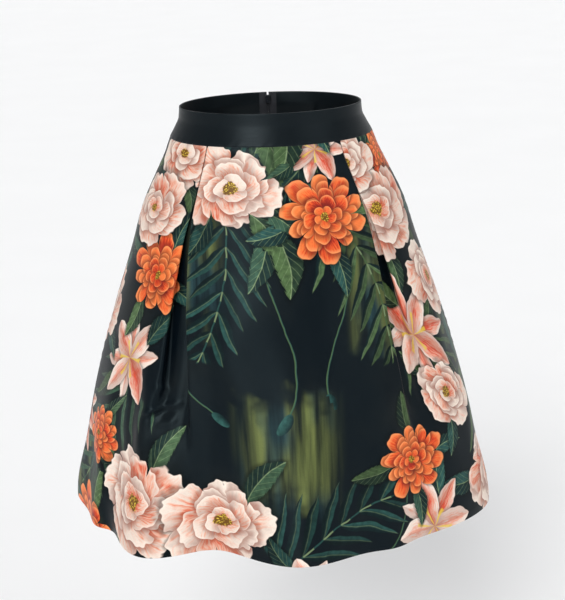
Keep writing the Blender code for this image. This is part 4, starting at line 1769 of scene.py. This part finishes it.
@dataclass
class Waistband(Cut):
    """A stretch of the waistband, folded double along its top edge.

    Attributes:
        slit: The end that stands back round the zip's slider.
        sewn: The ends whose seams this piece makes.
        pleat_half: Half the width of a pleat's layers, which end inside its lower edge.
        pleat_bulk: How far those layers push the inner layer in.
    """

    slit: End | None = None
    sewn: tuple[End, ...] = ()
    pleat_half: float = 0.0172
    pleat_bulk: float = 0.0037

    COLUMN_STEP = 0.0022
    ROWS = 26
    LAST_PLACES = (0.0016, 0.0008, 0.0002, 0.0)
    STITCHED_ROW = 4
    THREAD_SINK = 0.25
    WAVE = 0.00030
    WAVE_FROM = (0.002, 0.012)
    PUCKER = 0.00022
    PUCKER_REACH = 0.004
    ROLL = 0.0006
    ROLL_REACH = 0.0012
    BULK_FADE = 0.006
    BULK_FROM = (0.010, BAND_HEIGHT - 0.002)

    def build(self, material: bpy.types.Material) -> str:
        """Args:
            material: The plain satin.

        Returns:
            The piece's length, in words.
        """
        below, *last_places = (BAND_HEIGHT - place for place in self.LAST_PLACES)
        drops = np.array([*np.linspace(BAND_WALL / 2, below, self.ROWS), *last_places])
        middle = Section(BAND_HEIGHT / 2, self.start, self.end, BAND_WALL / 2)
        count = round((middle.last - middle.first) / self.COLUMN_STEP)
        rows = []
        for drop in drops:
            section = Section(float(drop), self.start, self.end, BAND_WALL / 2)
            trims = {end: SEAM_GAP / 2 for end in End}
            zero = 0.0
            if self.slit:
                trims[self.slit] = centre_back_half(drop)
                zero = section.last if self.slit is End.LAST else section.first
            ends = (section.first + trims[End.FIRST], section.last - trims[End.LAST])
            arcs = np.linspace(*ends, count)
            places = np.stack([arcs - zero, np.full(count, drop)], axis=-1)
            rows.append((*section.row(arcs), places))
        grid = ClothGrid(*(np.array(part)[::-1, ::-1] for part in zip(*rows)))
        x, y = np.moveaxis(grid.cloth, -1, 0)
        wave = self.WAVE * np.sin(x * 37.0 + y * 20.0) * np.sin(x * 11.0 + 0.7)
        wave += self.PUCKER * np.exp(-(BAND_HEIGHT - y) / self.PUCKER_REACH) * np.sin(x * 430.0)
        wave *= ease(y, *self.WAVE_FROM)
        roll = self.ROLL * ease(y, BAND_HEIGHT - self.ROLL_REACH, BAND_HEIGHT)
        bulk = np.zeros(x.shape)
        # The last section is the lower edge's, where the pleats' layers end.
        for angle in self.pleats:
            away = np.abs(x - section.arc_at(angle) + zero)
            fade = ease(away, self.pleat_half, self.pleat_half + self.BULK_FADE)
            bulk = np.maximum(bulk, 1 - fade)
        bulk *= self.pleat_bulk * ease(y, *self.BULK_FROM)
        self.put_up(grid, BAND_WALL / 2 + wave - roll, BAND_WALL / 2 - wave + bulk)
        piece = Shell(grid, self.right, self.wrong, 1.0).build(self.name, material)
        declare(piece, self.node)
        width = float(np.ptp(x))
        return f"{width:.3f} m long"

    def stitches(self) -> Stitches:
        """The row that holds the band's inner layer, the waist seam and the band's own seams.

        Returns:
            Each kind's stitch and its paths, by the end of its mesh's name.
        """
        run = self.inside(self.STITCHED_ROW, slice(None), RUNNING.height * self.THREAD_SINK)
        below = self.grid.points[0] - np.array([0.0, 0.0, SEAM_GAP / 2])
        seams = [(below, self.grid.outward[0]), *self.along(slice(-1), self.sewn)]
        return {"_stitches": (RUNNING, [run]), "_seam": (SEAM, seams)}


@dataclass(frozen=True)
class Zip:
    """The concealed zip: two tapes and their coil inside, the slider and its pull tab.

    Attributes:
        bottom: Drop of the tape's lower end.
        half_width: Half of the tape's width.
        wall: The tape's thickness.
        gap: Its distance from the cloth or the band.
        cloth_wall: Thickness of the cloth that it lies on.
        ease_out: Drops between which it runs from the band's inside to the cloth's.
        coil: Drops of the coil's ends.
        coil_depth: The coil's thickness.
        pull_wall: The pull tab's thickness.
        pull_length: Its length from the lug.
        pull_bevel: How round its edges are.
        tip_radius: Radius of its tip.
        slider_drop: Drop of the slider's lug.
        lug_stand: How far the lug stands off the band.
        window: Half width and height of the window round the lug.
    """

    bottom: float = 0.200
    half_width: float = 0.012
    wall: float = 0.0008
    gap: float = 0.0005
    cloth_wall: float = 0.0012
    ease_out: tuple[float, float] = (0.044, 0.059)
    coil: tuple[float, float] = (0.0148, 0.196)
    coil_depth: float = 0.0011
    pull_wall: float = 0.0010
    pull_length: float = 0.0200
    pull_bevel: float = 0.00018
    tip_radius: float = 0.0029
    slider_drop: float = 0.0090
    lug_stand: float = 0.0016
    window: tuple[float, float] = (0.0014, 0.0026)

    ROWS = 90
    COLUMNS = 9
    COIL_POINTS = 60
    TIP_POINTS = 25
    PULL_SIDE = ((0.0023, 0.0005), (0.0023, -0.0040), (0.0015, -0.0075))
    SHARP = math.radians(50)

    def tape_points(self, drop: float, across: np.ndarray, depth: float) -> np.ndarray:
        """Points of the tape at one drop, some way from the centre back, inside its outer face.

        Args:
            drop: The drop.
            across: Each point's distance from the centre back.
            depth: Its depth inside the outer face.

        Returns:
            The points.
        """
        per_degree = math.radians(RINGS.row(drop)[0])
        ends = (BAND_WALL + self.gap, self.cloth_wall + self.gap)
        inside = float(np.interp(drop, self.ease_out, ends)) + depth
        return FORM.points(drop, CENTRE_BACK + across / per_degree, inside)

    def build(self, tape: bpy.types.Material, metal: bpy.types.Material, beads: BeadTree) -> str:
        """Makes the tapes, the coil and the pull tab, and gives the slider its finish.

        Args:
            tape: The finish of the tapes and the coil.
            metal: The finish of the slider and the pull tab.
            beads: The tree that makes the coil.

        Returns:
            The zip's length, in words.
        """
        drops = np.linspace(self.gap, self.bottom, self.ROWS)
        for side, name in ((-1, "zip_tape_right"), (1, "zip_tape_left")):
            rows = []
            for drop in drops:
                across = np.linspace(centre_back_half(drop), self.half_width, self.COLUMNS)
                across = across[::side] * side
                places = np.stack([across, np.full(self.COLUMNS, drop)], axis=-1)
                rows.append((self.tape_points(drop, across, self.wall / 2), places))
            points, cloth = (np.array(part) for part in zip(*rows))
            outward = np.broadcast_to([0.0, 1.0, 0.0], points.shape)
            half = np.full(points.shape[:2], self.wall / 2)
            piece = Shell(ClothGrid(points, outward, cloth), half, half, -1.0).build(name, tape)
            declare(piece, "zip_tape")
        depth = self.wall + self.coil_depth / 2
        places = np.linspace(*self.coil, self.COIL_POINTS)
        middle = np.concatenate([self.tape_points(drop, np.zeros(1), depth) for drop in places])
        inward = np.tile([0.0, -1.0, 0.0], (len(middle), 1))
        declare(beads.run("zip_coil", [(middle, inward)], COIL, tape), "zip_tape")
        self.build_pull(metal)
        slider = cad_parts["zip_slider"]
        slider.data.materials.clear()
        slider.data.materials.append(metal)
        return f"{self.bottom * 1000:.0f} mm long"

    def build_pull(self, metal: bpy.types.Material) -> None:
        """Makes the pull tab: a flat drop with a window round the slider's lug.

        Args:
            metal: Its finish.
        """
        outline = bpy.data.curves.new("zip_pull_tab", "CURVE")
        outline.dimensions = "2D"
        outline.fill_mode = "BOTH"
        outline.bevel_depth = self.pull_bevel
        outline.bevel_resolution = 2
        outline.extrude = self.pull_wall / 2 - self.pull_bevel
        outline.offset = -self.pull_bevel
        radius, tip_middle = self.tip_radius, self.pull_length - self.tip_radius
        turns = np.linspace(0, math.pi, self.TIP_POINTS)
        tip = [(radius * math.cos(t), -tip_middle - radius * math.sin(t)) for t in turns]
        half, top = self.window[0], -self.pull_wall / 2
        bottom = top - self.window[1]
        for loop in (
            [*self.PULL_SIDE, *tip, *((-x, y) for x, y in reversed(self.PULL_SIDE))],
            [(half, top), (-half, top), (-half, bottom), (half, bottom)],
        ):
            spline = outline.splines.new("POLY")
            spline.points.add(len(loop) - 1)
            for point, place in zip(spline.points, loop):
                point.co = (*place, 0.0, 1.0)
            spline.use_cyclic_u = True
        mesh = take_mesh(add_object("zip_pull_outline", outline))
        axis = (0.0, RINGS.row(self.slider_drop)[1] + self.lug_stand, -self.slider_drop)
        tip_face = RINGS.row(self.slider_drop + self.pull_length)[1] + self.pull_wall / 2
        lean = math.atan2(tip_face + SEAM_GAP - axis[1], self.pull_length) + math.pi / 2
        mesh.transform(Matrix.Translation(axis) @ Matrix.Rotation(lean, 4, "X"))
        mesh.materials.clear()
        mesh.materials.append(metal)
        mesh.shade_smooth()
        mesh.set_sharp_from_angle(angle=self.SHARP)
        declare(add_object("zip_pull_tab", mesh), "zip_pull", body="pull")


class Lamp(NamedTuple):
    """A broad soft light: where it shines from, seen from the skirt, its strength and spread."""

    name: str
    azimuth: float
    height: float
    strength: float
    spread: float


@dataclass(frozen=True)
class Studio:
    """The plain pale floor, the soft lights and the camera.

    Attributes:
        floor: Height of the floor.
        floor_turns: Spans round the floor's edge.
        floor_profile: Radius and rise of the wall that the floor curves up into.
        place: Where the camera stands.
        azimuth: The way that it faces, in degrees from +Y towards +X.
        pitch: How far it looks down, in degrees.
        roll: Its roll, in degrees.
        lens: Focal length, in millimetres on the sensor.
        sensor: The sensor's width, in millimetres.
        shift: Sideways and upward shift, in parts of the sensor.
        lamps: The lamps.
        sky: Strength of the light from all round.
        sky_colour: Its colour.
        backdrop: How bright the sky looks past the wall.
    """

    floor: float = -1.02
    floor_turns: int = 96
    floor_profile: tuple[tuple[float, float], ...] = (
        (40.0, 0.0), (46.0, 0.4), (51.0, 1.9), (54.0, 5.0), (55.0, 15.0),
    )
    place: tuple[float, float, float] = (-0.06767, -1.93882, 0.32731)
    azimuth: float = 1.999
    pitch: float = 16.985
    roll: float = -1.979
    lens: float = 88.86
    sensor: float = 36.0
    shift: tuple[float, float] = (0.0096, -0.0090)
    lamps: tuple[Lamp, ...] = (
        Lamp("key", -20.0, 36.0, 1.82, 24.0),
        Lamp("fill", 45.0, 28.0, 0.38, 30.0),
        Lamp("back", 165.0, 50.0, 0.80, 30.0),
    )
    sky: float = 0.42
    sky_colour: Colour = (0.97, 0.98, 1.0)
    backdrop: float = 0.94

    def build(self) -> None:
        """Makes the floor, the lights and the camera."""
        bpy.context.scene.view_settings.view_transform = "Standard"
        self.build_floor()
        self.build_sky()
        for lamp in self.lamps:
            light = bpy.data.lights.new(lamp.name, "SUN")
            light.energy = lamp.strength
            light.angle = math.radians(lamp.spread)
            turns = (math.radians(90.0 - lamp.height), 0.0, math.radians(lamp.azimuth))
            add_object(lamp.name, light).rotation_euler = turns
        self.build_camera()

    def build_floor(self) -> None:
        """Makes a round floor whose edge curves up into a wall."""
        finish = Finish("floor_paint")
        grain = finish.noise(finish.object_place(), 3.0, 3.0)
        colour = finish.blend(grain, *paints("f3f3f3 f7f7f7"))
        finish.dress(Base_Color=colour, Roughness=0.8)
        count = self.floor_turns
        turns = np.linspace(0, math.tau, count, endpoint=False)
        points = [
            (radius * math.cos(turn), radius * math.sin(turn), self.floor + height)
            for (radius, height), turn in product(self.floor_profile, turns)
        ]
        index = np.arange(len(points)).reshape(-1, count)
        beside = np.roll(index, -1, axis=1)
        walls = np.stack([index[:-1], beside[:-1], beside[1:], index[1:]], axis=-1)
        mesh = bpy.data.meshes.new("floor")
        mesh.from_pydata(points, [], [*walls.reshape(-1, 4).tolist(), index[0].tolist()])
        mesh.materials.append(finish.material)
        add_object("floor", mesh)

    def build_sky(self) -> None:
        """Lights the scene from all round; only the camera sees the brighter backdrop."""
        world = bpy.context.scene.world = bpy.data.worlds.new("sky")
        world.use_nodes = True
        tree = NodeTree(world.node_tree)
        seen = tree.make("ShaderNodeLightPath", {}, "Is Camera Ray")
        values = {"Value": seen, "To Min": self.sky, "To Max": self.backdrop}
        back = tree.tree.nodes["Background"].inputs
        tree.feed(back["Strength"], tree.make("ShaderNodeMapRange", values))
        tree.feed(back["Color"], self.sky_colour)

    def build_camera(self) -> None:
        """Makes the camera and sets it as the scene's."""
        data = bpy.data.cameras.new("camera")
        data.lens = self.lens
        data.sensor_width = self.sensor
        data.shift_x, data.shift_y = self.shift
        camera = bpy.context.scene.camera = add_object("camera", data)
        turn, down, roll = (math.radians(v) for v in (self.azimuth, self.pitch, self.roll))
        ahead = np.array(
            [math.sin(turn) * math.cos(down), math.cos(turn) * math.cos(down), -math.sin(down)]
        )
        level = np.array([math.cos(turn), -math.sin(turn), 0.0])
        above = np.cross(level, ahead)
        matrix = np.eye(4)
        matrix[:3, 0] = math.cos(roll) * level + math.sin(roll) * above
        matrix[:3, 1] = math.cos(roll) * above - math.sin(roll) * level
        matrix[:3, 2] = -ahead
        matrix[:3, 3] = self.place
        camera.matrix_world = matrix.T.tolist()


FRONT_CREASES = (
    Crease(-0.218, 0.332, -0.150, 0.326, 0.0036, 0.0024),
    Crease(-0.212, 0.341, -0.152, 0.335, 0.0050, -0.0018),
    Crease(-0.206, 0.298, -0.174, 0.310, 0.0050, 0.0026),
    Crease(-0.186, 0.353, -0.156, 0.347, 0.0046, 0.0014),
    Crease(-0.228, 0.250, -0.196, 0.410, 0.0110, 0.0024),
    Crease(-0.246, 0.262, -0.222, 0.420, 0.0100, -0.0018),
    Crease(-0.304, 0.225, -0.262, 0.214, 0.0060, 0.0014),
    Crease(-0.318, 0.330, -0.300, 0.500, 0.0160, 0.0026),
    Crease(-0.060, 0.180, -0.080, 0.500, 0.0260, 0.0030),
    Crease(-0.020, 0.260, -0.012, 0.520, 0.0200, -0.0020),
    Crease(0.050, 0.200, 0.070, 0.520, 0.0280, 0.0030),
    Crease(0.130, 0.300, 0.170, 0.530, 0.0200, 0.0024),
    Crease(0.250, 0.120, 0.330, 0.500, 0.0220, 0.0030),
    Crease(0.290, 0.300, 0.240, 0.330, 0.0060, 0.0014),
)
BACK_RIGHT_CREASES = (
    Crease(-0.100, 0.140, -0.130, 0.520, 0.0240, 0.0030),
    Crease(-0.300, 0.180, -0.360, 0.500, 0.0200, 0.0030),
    Crease(-0.240, 0.250, -0.330, 0.262, 0.0060, 0.0020),
)
BACK_LEFT_CREASES = (
    Crease(0.090, 0.160, 0.120, 0.500, 0.0240, 0.0030),
    Crease(0.290, 0.150, 0.350, 0.520, 0.0200, 0.0032),
    Crease(0.230, 0.330, 0.320, 0.318, 0.0060, 0.0020),
)


def main() -> None:
    """Builds and declares every piece of the skirt, and the studio round it."""
    logging.basicConfig(level=logging.INFO, format="%(message)s", stream=sys.stdout)
    beads = BeadTree()
    satin, band, metal = PrintedSatin().material, BandSatin().material, Enamel().material
    tape = Woven("zip_tape", paint("181b21"), scale=2600.0).material
    thread = Woven("thread", paint("1e2128"), scale=3200.0).material
    both = (End.FIRST, End.LAST)
    front = (-SIDE_SEAM, SIDE_SEAM)
    back_right = (SIDE_SEAM, CENTRE_BACK)
    back_left = (-CENTRE_BACK, -SIDE_SEAM)
    for waistband in (
        Waistband("waistband_front_satin", *front, (-39.6, 39.6), sewn=both),
        Waistband("waistband_back_right_satin", *back_right, (140.6,), slit=End.LAST),
        Waistband("waistband_back_left_satin", *back_left, (-140.6,), slit=End.FIRST),
    ):
        log.info("%s: %s", waistband.name, waistband.build(band))
        waistband.sew(beads, thread)
    layout = PrintLayout()
    for panel in (
        SkirtPanel(
            "skirt_front_satin",
            *front,
            (Pleat(FRONT_LEFT_EDGE, True), Pleat(FRONT_RIGHT_EDGE, False)),
            grain=0.0,
            panel_counts=(50, 76, 50),
            cut_from=(0.0, 0.0),
            creases=FRONT_CREASES,
            sewn=both,
        ),
        SkirtPanel(
            "skirt_back_right_satin",
            *back_right,
            (Pleat(BACK_RIGHT_EDGE, True),),
            grain=CENTRE_BACK,
            panel_counts=(50, 38),
            cut_from=(0.42, 0.25),
            creases=BACK_RIGHT_CREASES,
            sewn=(End.LAST,),
            sewn_from=0.197,
        ),
        SkirtPanel(
            "skirt_back_left_satin",
            *back_left,
            (Pleat(BACK_LEFT_EDGE, False),),
            grain=-CENTRE_BACK,
            panel_counts=(38, 50),
            cut_from=(0.52, -0.12),
            creases=BACK_LEFT_CREASES,
            sewn=(),
        ),
    ):
        log.info("%s: %s", panel.name, panel.build(satin, layout))
        panel.sew(beads, thread)
    log.info("zip: %s", Zip().build(tape, metal, beads))
    Studio().build()


if __name__ == "__main__":
    main()
